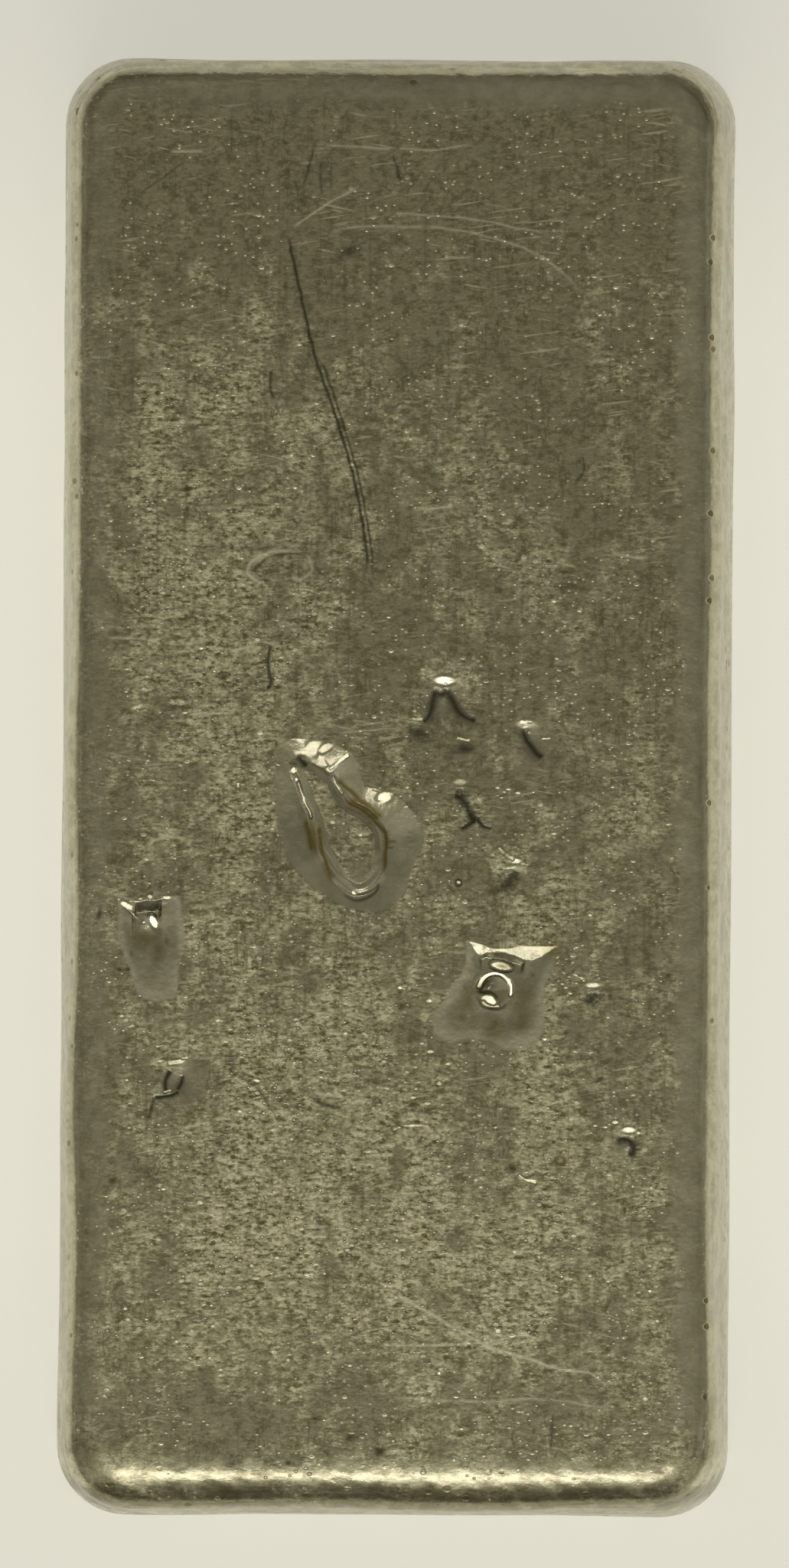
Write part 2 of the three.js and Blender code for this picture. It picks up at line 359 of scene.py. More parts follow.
class PressedSkin(Skin):
    def groove(self, points, width, depth, ends=0.12, closed=False):
        """A line pressed in, or raised with a negative depth."""
        k, weight = self.line(points, width, ends, closed)
        self.high[k] -= depth * weight

    def dimple(self, at, size, depth, turn=0):
        """A round hollow, or a bead with a negative depth."""
        k, weight = self.spot(at, size, turn)
        self.high[k] -= depth * weight

    def plane(self, k, weight, slope, lift):
        """Blends a plane that falls towards -Y into the heights."""
        if weight.sum() > 0:
            level = (self.high[k] * weight).sum() / weight.sum() + lift
            y = self.spots[k, 1]
            middle = (y * weight).sum() / weight.sum()
            self.high[k] += weight * (level + slope * (y - middle) - self.high[k])

    def facet(self, at, size, turn=0, slope=SLOPE, lift=0):
        """A small oval plane."""
        k = self.close_to([at], REACH * max(size))
        away = np.hypot(*local(self.seen[k], at, size, turn).T)
        self.plane(k, 1 - ramp(away, CORE, OUTER), slope, lift)

    def ledge(self, points, width, slope=SLOPE, lift=0):
        """A small plane along a line."""
        k = self.close_to(points, REACH * width)
        away, _ = nearest(self.seen[k], smooth_line(points))
        self.plane(k, 1 - ramp(away, CORE * width, OUTER * width), slope, lift)


# %% [markdown]
# And three ways to paint: a stroke, a soft blot, and a crease, which is a fine fold pressed in a
# little and painted dark with dirt and painted shade. Most marks come in numbers, so there is a short
# way to write a list of strokes or blots of one layer, and *each* uses any other tool for a list.
# Planes blend with what is there already, so their order counts.

# %% Painting
class PaintedSkin(PressedSkin):
    def paint(self, name, points, width, amount, ends=0.12, closed=False):
        """A stroke of a colour layer."""
        k, weight = self.line(points, width, ends, closed)
        self.coat[name][k] = np.maximum(self.coat[name][k], amount * weight)

    def blot(self, name, at, size, amount, turn=0):
        """A soft blot of a colour layer. Blots of tone add up."""
        k, weight = self.spot(at, size, turn)
        join = np.add if name == "tone" else np.maximum
        self.coat[name][k] = join(self.coat[name][k], amount * weight)

    def strokes(self, name, *marks):
        for mark in marks:
            self.paint(name, *mark)

    def blots(self, name, *marks):
        for mark in marks:
            self.blot(name, *mark)

    def crease(self, points, width, amount, ends=0.05):
        """A fold a little narrower than its painted dirt and shade, and a quarter as deep."""
        self.groove(points, 0.7 * width, 0.25 * width, ends)
        self.paint("dirt_and_shade", points, width, amount, ends)


def each(tool, *marks):
    """Uses one tool once for each mark."""
    for mark in marks:
        tool(*mark)

# %% [markdown]
# ## The tear
#
# The largest mark is shaped like a drop. A flat bubble of gas lay against the mould here, with a
# thin bead of metal round its middle. It could be carved with a boolean, but its floor rises and
# falls with the bead, so it is described by two outlines: the rim, and the bead with its foot's
# height and its own height at each point. Between them the floor falls to a moat. Small planes then
# mark where the walls catch light, and thin strokes of tarnish follow the bead.

# %% Outlines of the tear
TEAR_RIM = [(-3.9, 1.3), (-3.3, 1.6), (-2.6, 1.5), (-2.05, 1.4), (-1.38, 1.08), (-1.05, 0.5),
            (-0.95, 0), (-0.35, -0.17), (0.3, -0.5), (0.95, -1.3), (1.03, -1.9), (0.6, -3.0),
            (0.42, -3.6), (-0.1, -4.1), (-1.05, -4.2), (-2.05, -3.85), (-2.9, -3.2), (-3.5, -2.5),
            (-3.85, -1.5), (-4.0, -0.5), (-3.95, 0.3)]
# the bead round the middle: x, y, height of its foot, height of the bead on it
TEAR_BEAD = [(-3.35, 0.68, -0.10, 0.03), (-3.22, 0.2, -0.17, 0.05), (-2.98, -0.4, -0.23, 0.05),
             (-2.72, -1.1, -0.28, 0.04), (-2.55, -1.7, -0.29, 0.05), (-2.3, -2.35, -0.26, 0.06),
             (-1.8, -3.1, -0.2, 0.09), (-1.2, -3.48, -0.12, 0.13), (-0.62, -3.25, -0.12, 0.12),
             (-0.32, -2.7, -0.17, 0.08), (-0.27, -2.0, -0.22, 0.06), (-0.42, -1.35, -0.25, 0.06),
             (-0.85, -0.9, -0.26, 0.05), (-1.35, -0.6, -0.26, 0.05), (-1.72, -0.2, -0.25, 0.04),
             (-1.98, 0.3, -0.21, 0.02), (-2.45, 0.62, -0.17, 0), (-2.95, 0.9, -0.13, 0)]


# %% Press the tear
TINY = 1e-9  # keeps a division from meeting 0


def tear(skin):
    """The floor, from the rim down to the bead and up again in its middle."""
    k = skin.close_to(TEAR_RIM, 0.3)
    q = skin.seen[k]
    rim = smooth_line(TEAR_RIM, closed=True)
    bead = smooth_line(TEAR_BEAD, closed=True)
    to_rim, _ = nearest(q, rim, closed=True)
    to_bead, share = nearest(q, bead[:, :2], closed=True)
    lengths = np.linalg.norm(np.roll(bead[:, :2], -1, 0) - bead[:, :2], axis=1)
    marks = np.append(0, np.cumsum(lengths)) / lengths.sum()
    foot, proud = (np.interp(share, marks, np.append(bead[:, n], bead[0, n])) for n in (2, 3))
    south = ramp(-q[:, 1], 2.4, 3.2)
    across = to_rim / (to_rim + to_bead + TINY)
    moat = curve(across, [(0, 0), (0.1, 0.06), (0.6, 0.56), (0.9, 0.92), (1, 1)])
    climb = curve(to_bead / (0.44 - 0.2 * south), [(0, 1), (0.35, 0.67), (0.8, 0.1), (1, 0)])
    in_middle = inside(q, bead[:, :2])
    in_tear = inside(q, rim)
    drop = foot * np.where(in_middle, climb, moat)
    drop += proud * np.clip(1 - (to_bead / (0.12 + 0.08 * south)) ** 2, 0, 1)
    skin.high[k] += np.where(in_tear, drop, 0)
    soft = ramp(to_rim, 0, 0.06)
    skin.coat["gloss"][k] = np.where(in_tear & ~(in_middle & (to_bead > 0.33)), soft, 0)


# %% Bright walls and tarnish of the tear
def tear_finish(skin):
    each(skin.facet,
        ((-2.68, 1.24), (0.22, 0.26)), ((-2.28, 1.24), (0.26, 0.14), 28),
        ((-3.15, 1.53), (0.24, 0.07), -5, 0.22), ((-2.36, 0.82), (0.10, 0.26), 32),
        ((-2.13, 0.53), (0.15, 0.11))
    )
    skin.ledge([(-2.1, 0.56), (-1.8, 0.78), (-1.5, 1.0)], 0.05)
    each(skin.facet,
        ((-0.27, -0.38), (0.27, 0.18)), ((-0.72, -0.10), (0.24, 0.03), -18),
        ((-1.25, -3.58), (0.09, 0.08))
    )
    each(skin.ledge,
        ([(-2.0, 0.3), (-1.86, 0), (-1.7, -0.28)], 0.045, 0.24),
        ([(-3.17, 0.12), (-2.98, -0.38), (-2.72, -1.05)], 0.045, 0.24)
    )
    each(skin.facet, ((-3.3, 0.5), (0.09, 0.13)), ((-3.22, 0.2), (0.07, 0.08)))
    skin.dimple((-3.02, 0.82), (0.2, 0.13), 0.10, -35)
    # dark strokes: painted shade in a pit and along the foot of the bead
    skin.strokes("dirt_and_shade",
        ([(-3.22, 0.98), (-2.85, 0.66)], 0.09, 0.9),
        ([(-1.65, -3.6), (-1.2, -3.84), (-0.6, -3.6), (-0.42, -3.2)], 0.045, 0.8),
        ([(-3.5, 0.72), (-3.2, 0.72)], 0.03, 0.7)
    )
    skin.strokes("oxide",
        ([(-2.9, -1.1), (-2.8, -1.7), (-2.68, -2.2)], 0.08, 1),
        ([(-2.5, -1.3), (-2.35, -2.2), (-2.0, -3.2)], 0.07, 1),
        ([(-2.75, -1.0), (-2.67, -1.7), (-2.5, -2.5)], 0.13, 0.85, 0.4),
        ([(-2.3, -2.5), (-2.0, -3.1)], 0.15, 0.6), ([(-1.9, 0.3), (-1.4, -0.2), (-0.3, -1.1)], 0.08, 1),
        ([(-1.7, -0.4), (-0.95, -0.9), (-0.3, -1.5), (-0.2, -2.0), (-0.3, -3.0)], 0.08, 1),
        ([(-1.45, -0.45), (-0.9, -0.8), (-0.45, -1.15)], 0.22, 0.85),
        ([(-0.2, -1.85), (0.1, -1.85)], 0.04, 0.8), ([(-0.2, -2.05), (0.05, -2.08)], 0.04, 0.8),
        ([(-2.7, 0.8), (-2.1, 0.3)], 0.06, 0.6)
    )
    skin.blot("oxide", (-3.5, 1.15), (0.35, 0.3), 0.3)

# %% [markdown]
# ## Two pockets
#
# Two smooth hollows are like prints of a thumb: a wall on the upper side that falls in steps, and a
# floor that climbs back slowly. One helper makes both. It takes the line where the wall begins, the
# slopes of its steps, and the pocket's outline.

# %% A scooped pocket
def scoop(skin, top, falls, floor, reach, rim, lowest):
    """A pocket whose wall starts at the line top and falls towards -Y in steps, each
    (slope, its run at several x); from the wall's foot the floor climbs back to the face."""
    k = skin.close_to(rim, 0.1)
    q = skin.seen[k]
    down = curve(q[:, 0], top) - q[:, 1]
    below = ramp(down, -0.02, 0.03)
    depth = np.zeros(len(q))
    for slope, runs in falls:
        run = curve(q[:, 0], runs)
        depth += slope * np.clip(down, 0, run)
        down = down - run
    share = share_in(q, rim, lowest)
    # the wall runs out softly into the floor
    bed = floor * curve(share, [(0, 0), (0.15, 0.2), (0.5, 1)])
    depth += (bed - depth) * np.where(bed < depth, ramp(down, 0, 0.45), ramp(down, 0, 1.3))
    depth *= 1 - ramp(down, 0, reach)
    skin.high[k] -= depth * curve(share, [(0, 0), (0.1, 0.5), (0.3, 0.95), (0.4, 1)]) * below
    skin.coat["gloss"][k] = np.maximum(skin.coat["gloss"][k], ramp(share, 0, 0.05) * below)
    pale_edge = 0.28 * (ramp(share, 0.01, 0.06) * (1 - ramp(share, 0.1, 0.3)) * below)
    skin.coat["scour_and_highlight"][k] = np.maximum(skin.coat["scour_and_highlight"][k], pale_edge)


# %% [markdown]
# The right pocket holds a crater, where one last bubble burst while the silver was setting: a round
# lip, a hole that leans to the left, and a small bubble beside it that burst as well.

# %% The crater pocket
CRATER = (3.44, -6.8)


def crater(skin):
    scoop(
        skin,
        top=[(2.55, -5.18), (3.0, -5.27), (3.4, -5.41), (3.85, -5.43), (4.3, -5.34), (4.9, -5.3),
             (5.6, -5.3)],
        falls=[
            (0.27, [(2.58, 0), (2.75, 0.26), (3.0, 0.42), (3.15, 0.24), (3.4, 0.15), (3.8, 0.13),
                    (4.1, 0.25), (4.35, 0.44), (4.7, 0.5), (5.0, 0.4), (5.3, 0.2), (5.55, 0)]),
            (0.85, [(2.9, 0), (3.0, 0.12), (3.3, 0.2), (3.7, 0.22), (4.0, 0.26), (4.3, 0.22), (4.45, 0)]),
        ],
        floor=0.13,
        reach=2.9,
        rim=[(2.5, -4.8), (3.5, -4.5), (4.6, -4.5), (5.6, -4.8), (5.5, -5.9), (5.15, -6.6), (5.15, -7.6),
             (5.0, -8.4), (4.5, -8.75), (3.9, -8.85), (3.2, -8.6), (2.5, -8.5), (1.9, -8.65),
             (1.35, -8.3), (1.35, -7.7), (1.75, -7.1), (2.1, -6.5), (2.45, -5.9)],
        lowest=(3.6, -6.6),
    )


# %% The crater and the burst bubble
LIT_FLOOR, LIT_TURN = (3.24, -7.14), -20
BURST, BURST_TURN = (3.66, -5.99), -12


def crater_ring(skin):
    k = skin.close_to([CRATER], 1.3)
    away = skin.seen[k] - CRATER
    r = np.hypot(*away.T)
    north = 0.5 + 0.5 * away[:, 1] / (r + TINY)
    lip_height = curve(r, [(0.50, 0.015), (0.64, 0.05), (0.70, 0.048), (0.82, 0.015), (1, 0)])
    skin.high[k] += (0.25 + 0.75 * north) * lip_height
    hole = share_in(skin.seen[k], ring(CRATER, (0.52, 0.52)), (3.2, -6.8))
    skin.high[k] -= curve(hole, [(0, 0), (0.06, 0.02), (0.5, 0.17), (0.85, 0.24), (1, 0.26)])
    skin.facet(LIT_FLOOR, (0.29, 0.22), LIT_TURN, 0.25, 0.02)
    lip = ring(CRATER, (0.55, 0.55), count=24)
    each(skin.ledge, (lip[23:] + lip[:12], 0.075, 0.25), (lip[15:20], 0.05, 0.2))
    skin.paint("oxide", ring(LIT_FLOOR, (0.36, 0.29), LIT_TURN), 0.06, 0.35, closed=True)
    # the lip is painted bright, as a painted highlight
    skin.paint("scour_and_highlight", lip[-5:] + lip[:15], 0.09, 0.5)
    skin.paint("oxide", lip[10:20], 0.05, 0.5)
    # the upper side of the hole and the steep outer side of the lip are painted dark, as painted shade
    skin.strokes("dirt_and_shade",
        ([(2.9, -6.95), (3.0, -6.65), (3.25, -6.45)], 0.12, 0.7),
        ([(3.2, -7.42), (3.6, -7.43), (3.85, -7.25)], 0.035, 0.7)
    )
    skin.blot("dirt_and_shade", (3.3, -6.62), (0.22, 0.13), 0.9)
    # the burst bubble beside it
    skin.facet(BURST, (0.37, 0.18), BURST_TURN, 0.24)
    skin.paint("dirt_and_shade", ring(BURST, (0.43, 0.23), BURST_TURN), 0.03, 0.6, closed=True)
    skin.blot("dirt_and_shade", BURST, (0.20, 0.07), 0.8, BURST_TURN)
    skin.blot("oxide", BURST, (0.20, 0.07), 0.7, BURST_TURN)
    # round stains: x, y, size, amount
    for x, y, size, amount in (
        (2.4, -7.7, 0.14, 0.7), (2.6, -6.9, 0.35, 0.4), (3.45, -7.9, 0.08, 0.8), (4.3, -7.7, 0.15, 0.6),
        (4.7, -6.3, 0.09, 0.6), (2.55, -6.2, 0.14, 0.4), (2.45, -6.7, 0.1, 0.55), (3.2, -7.6, 0.12, 0.5),
        (4.1, -7.9, 0.3, 0.35), (2.8, -7.9, 0.4, 0.25), (2.85, -7.1, 0.1, 0.5), (4.45, -6.9, 0.45, 0.5),
        (4.35, -7.9, 0.35, 0.55), (5.35, -5.45, 0.35, 0.6), (2.55, -7.2, 0.35, 0.5),
        (4.25, -7.3, 0.4, 0.45), (3.4, -8.15, 0.45, 0.5), (3.1, -8.0, 0.3, 0.3), (4.62, -6.9, 0.07, 0.7)
    ):
        skin.blot("oxide", (x, y), (size, size), amount)


# %% [markdown]
# The left pocket is smaller, and a rounded bead of silver stands in it.

# %% The bead pocket
def bead_pocket(skin):
    scoop(
        skin,
        top=[(-9.2, -3.8), (-8.9, -3.82), (-8.7, -3.9), (-8.5, -3.93), (-8.15, -3.86), (-7.9, -3.87),
             (-7.4, -3.7), (-6.9, -3.8)],
        falls=[
            (0.12, [(-9.1, 0), (-8.9, 0.3), (-8.62, 0.28), (-8.58, 0.02), (-7.7, 0.02), (-7.66, 0.25),
                    (-7, 0)]),
            (0.8, [(-8.72, 0), (-8.58, 0.3), (-8.2, 0.34), (-7.8, 0.36), (-7.68, 0)]),
        ],
        floor=0.13,
        reach=2.4,
        rim=[(-9.12, -3.6), (-8.85, -3.2), (-8.15, -3.1), (-7.4, -3.2), (-7.1, -3.6), (-6.95, -4.9),
             (-6.95, -5.6), (-7.1, -6.3), (-7.2, -7.1), (-7.9, -7.3), (-8.5, -7.0), (-8.8, -6.2),
             (-9.1, -5.3), (-9.2, -4.5)],
        lowest=(-8.1, -4.9),
    )


# %% The bead, its stains, and its painted highlight and shade
def bead(skin):
    skin.dimple((-8.12, -4.52), (0.34, 0.30), -0.07)
    each(skin.facet,
        ((-8.87, -4.05), (0.10, 0.24), 45), ((-8.66, -4.33), (0.035, 0.22), 50),
        ((-7.97, -4.58), (0.13, 0.27), 25, 0.25, 0.02), ((-8.1, -3.76), (0.08, 0.11)),
        ((-7.54, -3.76), (0.13, 0.07)), ((-8.4, -3.84), (0.06, 0.05)), ((-8.55, -3.93), (0.08, 0.03)),
        ((-8.1, -3.3), (0.06, 0.04)), ((-8.3, -4.6), (0.07, 0.05))
    )
    # the bead is painted bright, as a painted highlight
    skin.blot("scour_and_highlight", (-8.12, -4.5), (0.3, 0.3), 1)
    skin.blots("oxide",
        ((-8.35, -4.55), (0.12, 0.2), 0.4), ((-8.2, -5.1), (0.5, 0.35), 0.55),
        ((-7.8, -5.5), (0.25, 0.35), 0.6), ((-7.95, -5.1), (0.07, 0.1), 0.7),
        ((-7.53, -5.25), (0.08, 0.15), 0.7), ((-8.78, -4.85), (0.06, 0.13), 0.5),
        ((-8.62, -5.15), (0.07, 0.12), 0.5), ((-8.7, -5.65), (0.06, 0.12), 0.5),
        ((-7.85, -5.8), (0.15, 0.12), 0.55), ((-7.2, -5.7), (0.15, 0.1), 0.45),
        ((-8.35, -4.6), (0.15, 0.12), 0.45)
    )
    # painted shade on the steep wall under the rim
    skin.strokes("dirt_and_shade",
        ([(-8.55, -4.1), (-8.2, -4.12), (-7.8, -4.08)], 0.16, 0.75, 0.02),
        ([(-7.95, -3.9), (-7.65, -3.86)], 0.04, 0.6)
    )

# %% [markdown]
# ## Small marks
#
# Between the pockets lie small folds, most of them with a bright lip above a dark crease: the lip is
# partly a painted highlight, the crease partly painted shade. Each is a few facets, creases and blots.
# Look at the arch first, since the others are made the same way.

# %% A lit lobe and a soft shadow
def lobe(skin, at, size, slope, tarnish=0):
    """A smooth lobe that faces the near side a little, painted pale as a highlight."""
    skin.facet(at, size, slope=slope)
    skin.blot("gloss", at, size, 1)
    skin.blot("scour_and_highlight", at, (0.9 * size[0], 0.9 * size[1]), 0.8)
    skin.blot("oxide", at, (1.1 * size[0], 1.1 * size[1]), tarnish)


def shade(skin, points):
    """A broad, shallow fold with painted shade over it."""
    skin.groove(points, 0.16, 0.02)
    skin.paint("dirt_and_shade", points, 0.17, 0.8)


# %% The arch, and the small pit below it
def arch(skin):
    skin.dimple((1.7, 2.7), (0.55, 0.7), 0.08)
    lobe(skin, (1.7, 3.52), (0.36, 0.17), 0.27)
    shade(skin, [(1.45, 3.15), (1.3, 2.8), (1.2, 2.35), (1.0, 2.12)])
    shade(skin, [(1.8, 3.15), (2.0, 2.85), (2.25, 2.45), (2.7, 2.15)])
    each(skin.crease,
        ([(1.38, 3.18), (1.6, 3.1), (1.8, 3.18)], 0.14, 0.95, 0.02),
        ([(1.38, 3.2), (1.3, 2.8), (1.2, 2.35), (1.0, 2.12)], 0.10, 0.95),
        ([(1.8, 3.2), (2.0, 2.85), (2.25, 2.45), (2.75, 2.15)], 0.13, 0.95)
    )
    skin.ledge([(0.6, 2.27), (0.8, 2.2), (0.97, 2.24)], 0.05, 0.18)
    skin.blot("gloss", (1.7, 2.75), (0.35, 0.5), 1)
    skin.blots("tone",
        ((1.2, 3.68), (0.2, 0.12), 0.5), ((2.3, 3.6), (0.25, 0.1), 0.4), ((0.8, 2.22), (0.25, 0.1), 0.5)
    )
    skin.blots("dirt_and_shade", ((0.85, 1.75), (0.3, 0.2), 0.85), ((1.05, 1.62), (0.14, 0.1), 0.5))
    # the small pit
    skin.ledge([(2.2, 1.62), (2.5, 1.53)], 0.06, 0.24)
    # painted shade in the pit
    skin.blots("dirt_and_shade", ((2.4, 1.25), (0.3, 0.2), 0.95), ((2.65, 1.25), (0.14, 0.1), 0.7))


# %% The slit and the branching crease
def slit(skin):
    skin.dimple((4.7, 1.6), (0.35, 0.45), 0.05)
    lobe(skin, (4.42, 2.08), (0.36, 0.17), 0.155, 0.3)
    shade(skin, [(4.3, 1.95), (4.5, 1.6), (4.7, 1.25), (4.95, 1.0)])
    skin.ledge([(4.25, 2.2), (4.6, 2.16)], 0.03)
    skin.crease([(4.35, 1.85), (4.55, 1.5), (4.72, 1.2), (5.0, 0.98)], 0.15, 0.95)
    skin.ledge([(5.0, 1.64), (5.2, 1.6)], 0.04)
    skin.blot("gloss", (4.75, 1.3), (0.4, 0.5), 0.9)
    skin.blot("oxide", (4.55, 2.05), (0.15, 0.1), 0.3)


def branch(skin):
    lobe(skin, (2.25, 0.15), (0.2, 0.14), 0.15, 0.4)
    shade(skin, [(2.2, -0.1), (2.4, -0.5), (2.65, -0.95), (2.75, -1.2)])
    each(skin.crease,
        ([(2.2, -0.1), (2.28, -0.35)], 0.13, 0.85),
        ([(2.08, -0.33), (2.35, -0.43), (2.55, -0.8), (2.7, -1.15)], 0.13, 0.95),
        ([(2.6, -0.85), (2.75, -1.15)], 0.14, 0.95),
        ([(2.75, -1.15), (2.5, -1.3), (2.28, -1.42)], 0.085, 0.95),
        ([(2.8, -1.05), (3.0, -1.3), (3.3, -1.4)], 0.085, 0.95)
    )
    skin.blot("tone", (2.75, -0.6), (0.25, 0.3), 0.4)


# %% The sparkling hollow
def sparkle_pocket(skin):
    lobe(skin, (4.1, -2.48), (0.2, 0.1), 0.25, 0.1)
    shade(skin, [(4.15, -2.75), (4.0, -3.0), (3.85, -3.2), (3.6, -3.35)])
    each(skin.ledge,
        ([(3.58, -2.05), (3.8, -2.28), (4.02, -2.42)], 0.06, 0.18),
        ([(4.3, -2.56), (4.55, -2.62)], 0.04, 0.2),
        ([(3.75, -2.75), (3.95, -2.7), (4.1, -2.65)], 0.05, 0.18)
    )
    skin.paint("dirt_and_shade", ring((2.21, -3.23), (0.11, 0.1)), 0.04, 0.9, closed=True)
    skin.facet((2.23, -3.21), (0.08, 0.07))
    skin.blot("tone", (3.9, -2.6), (0.45, 0.3), 0.5)
    # painted shade on the steep part below the lit wall
    skin.blots("dirt_and_shade",
        ((3.85, -3.2), (0.25, 0.2), 0.85), ((4.08, -3.15), (0.07, 0.22), 0.5),
        ((3.55, -3.5), (0.3, 0.12), 0.5)
    )


# %% The hook, and the arc beside it
def hook(skin):
    skin.dimple((-7.1, -9.8), (0.35, 0.5), 0.07)
    skin.facet((-7.2, -9.27), (0.29, 0.10), 17)
    each(skin.ledge,
        ([(-6.97, -9.13), (-6.82, -9.1)], 0.05),
        ([(-7.85, -8.76), (-7.65, -8.72), (-7.45, -8.71)], 0.035),
        ([(-7.75, -9.25), (-7.62, -9.2)], 0.045, 0.2)
    )
    each(skin.crease,
        ([(-7.38, -9.55), (-7.53, -9.8), (-7.53, -10.2)], 0.09, 1),
        ([(-6.97, -9.7), (-7.02, -9.95), (-7.15, -10.18)], 0.08, 0.95),
        ([(-7.1, -10.25), (-7.4, -10.36), (-7.9, -10.42)], 0.085, 1),
        ([(-7.9, -10.42), (-8.02, -10.7), (-8.1, -11.1)], 0.08, 0.7)
    )
    skin.ledge([(-7.57, -10.27), (-7.38, -10.18)], 0.035, 0.2)
    skin.facet((-8.7, -8.1), (0.12, 0.06), 20, 0.22)
    skin.blots("gloss", ((-6.85, -9.8), (0.4, 0.7), 1), ((-7.25, -9.85), (0.25, 0.4), 1))
    skin.blots("tone", ((-6.9, -8.9), (0.35, 0.15), 0.7), ((-7.6, -9.45), (0.2, 0.12), 0.6))
    skin.blot("oxide", (-7.48, -9.12), (0.06, 0.07), 1)
    # bead drawn in an arc, right of the hook
    arc = [(-5.45, -9.76), (-5.1, -9.77), (-4.75, -9.97), (-4.4, -10.35), (-4.1, -10.75), (-3.85, -11.1)]
    skin.groove(arc, 0.09, -0.018)
    skin.facet((-4.48, -9.87), (0.09, 0.08))
    skin.blot("tone", (-4.9, -9.85), (0.4, 0.12), 0.5, -10)
    skin.strokes("dirt_and_shade",
        ([(-5.75, -9.98), (-5.4, -9.83), (-5.15, -9.88), (-4.85, -10.1), (-4.65, -10.45)], 0.035, 0.6),
        ([(-4.5, -10.08), (-4.2, -10.5), (-3.72, -11.3)], 0.03, 0.6)
    )
    skin.blots("dirt_and_shade",
        ((-5.3, -9.1), (0.35, 0.2), 0.4), ((-5.25, -9.45), (0.15, 0.06), 0.5),
        ((-5.35, -7.0), (0.15, 0.3), 0.45)
    )


# %% The crescent and the round pit
def crescent(skin):
    lobe(skin, (7.93, -11.45), (0.24, 0.12), 0.24)
    each(skin.facet,
        ((7.47, -11.2), (0.1, 0.08)), ((7.15, -11.35), (0.08, 0.04)), ((8.27, -11.55), (0.05, 0.08))
    )
    bow = [(7.5, -11.77), (7.8, -11.73), (8.04, -11.85), (8.1, -12.1), (7.93, -12.32)]
    skin.crease(bow, 0.15, 0.95, 0.12)
    skin.blot("tone", (7.9, -11.45), (0.35, 0.15), 0.6)
    skin.blot("gloss", (7.6, -12.2), (0.35, 0.35), 0.7)
    # the round pit above it
    lobe(skin, (6.72, -6.6), (0.26, 0.12), 0.16, 0.3)
    shade(skin, [(6.76, -6.85), (6.7, -7.0), (6.6, -7.25)])
    skin.ledge([(6.05, -6.22), (6.25, -6.33), (6.42, -6.48)], 0.03, 0.2)
    skin.dimple((6.72, -6.95), (0.2, 0.2), 0.02)
    each(skin.ledge,
        ([(4.32, -12.97), (4.55, -13.13), (4.82, -13.22)], 0.055),
        ([(5.0, -13.1), (5.3, -13.12), (5.6, -13.1)], 0.02, 0.2),
        ([(0.08, -11.52), (0.4, -11.38), (0.9, -11.33), (1.5, -11.35)], 0.03, 0.18)
    )
    # painted shade in the round pit
    skin.blots("dirt_and_shade", ((6.76, -6.94), (0.17, 0.13), 0.9), ((6.6, -7.2), (0.12, 0.2), 0.5))
    skin.strokes("dirt_and_shade",
        ([(-0.8, -11.75), (-0.4, -12.2), (-0.15, -12.75)], 0.035, 0.5),
        ([(8.47, -5.1), (8.5, -6.5), (8.46, -7.7)], 0.03, 0.4)
    )
    skin.blots("tone", ((0.2, -12.5), (0.2, 0.6), -0.2), ((8.88, -13.63), (0.2, 0.25), 0.8))
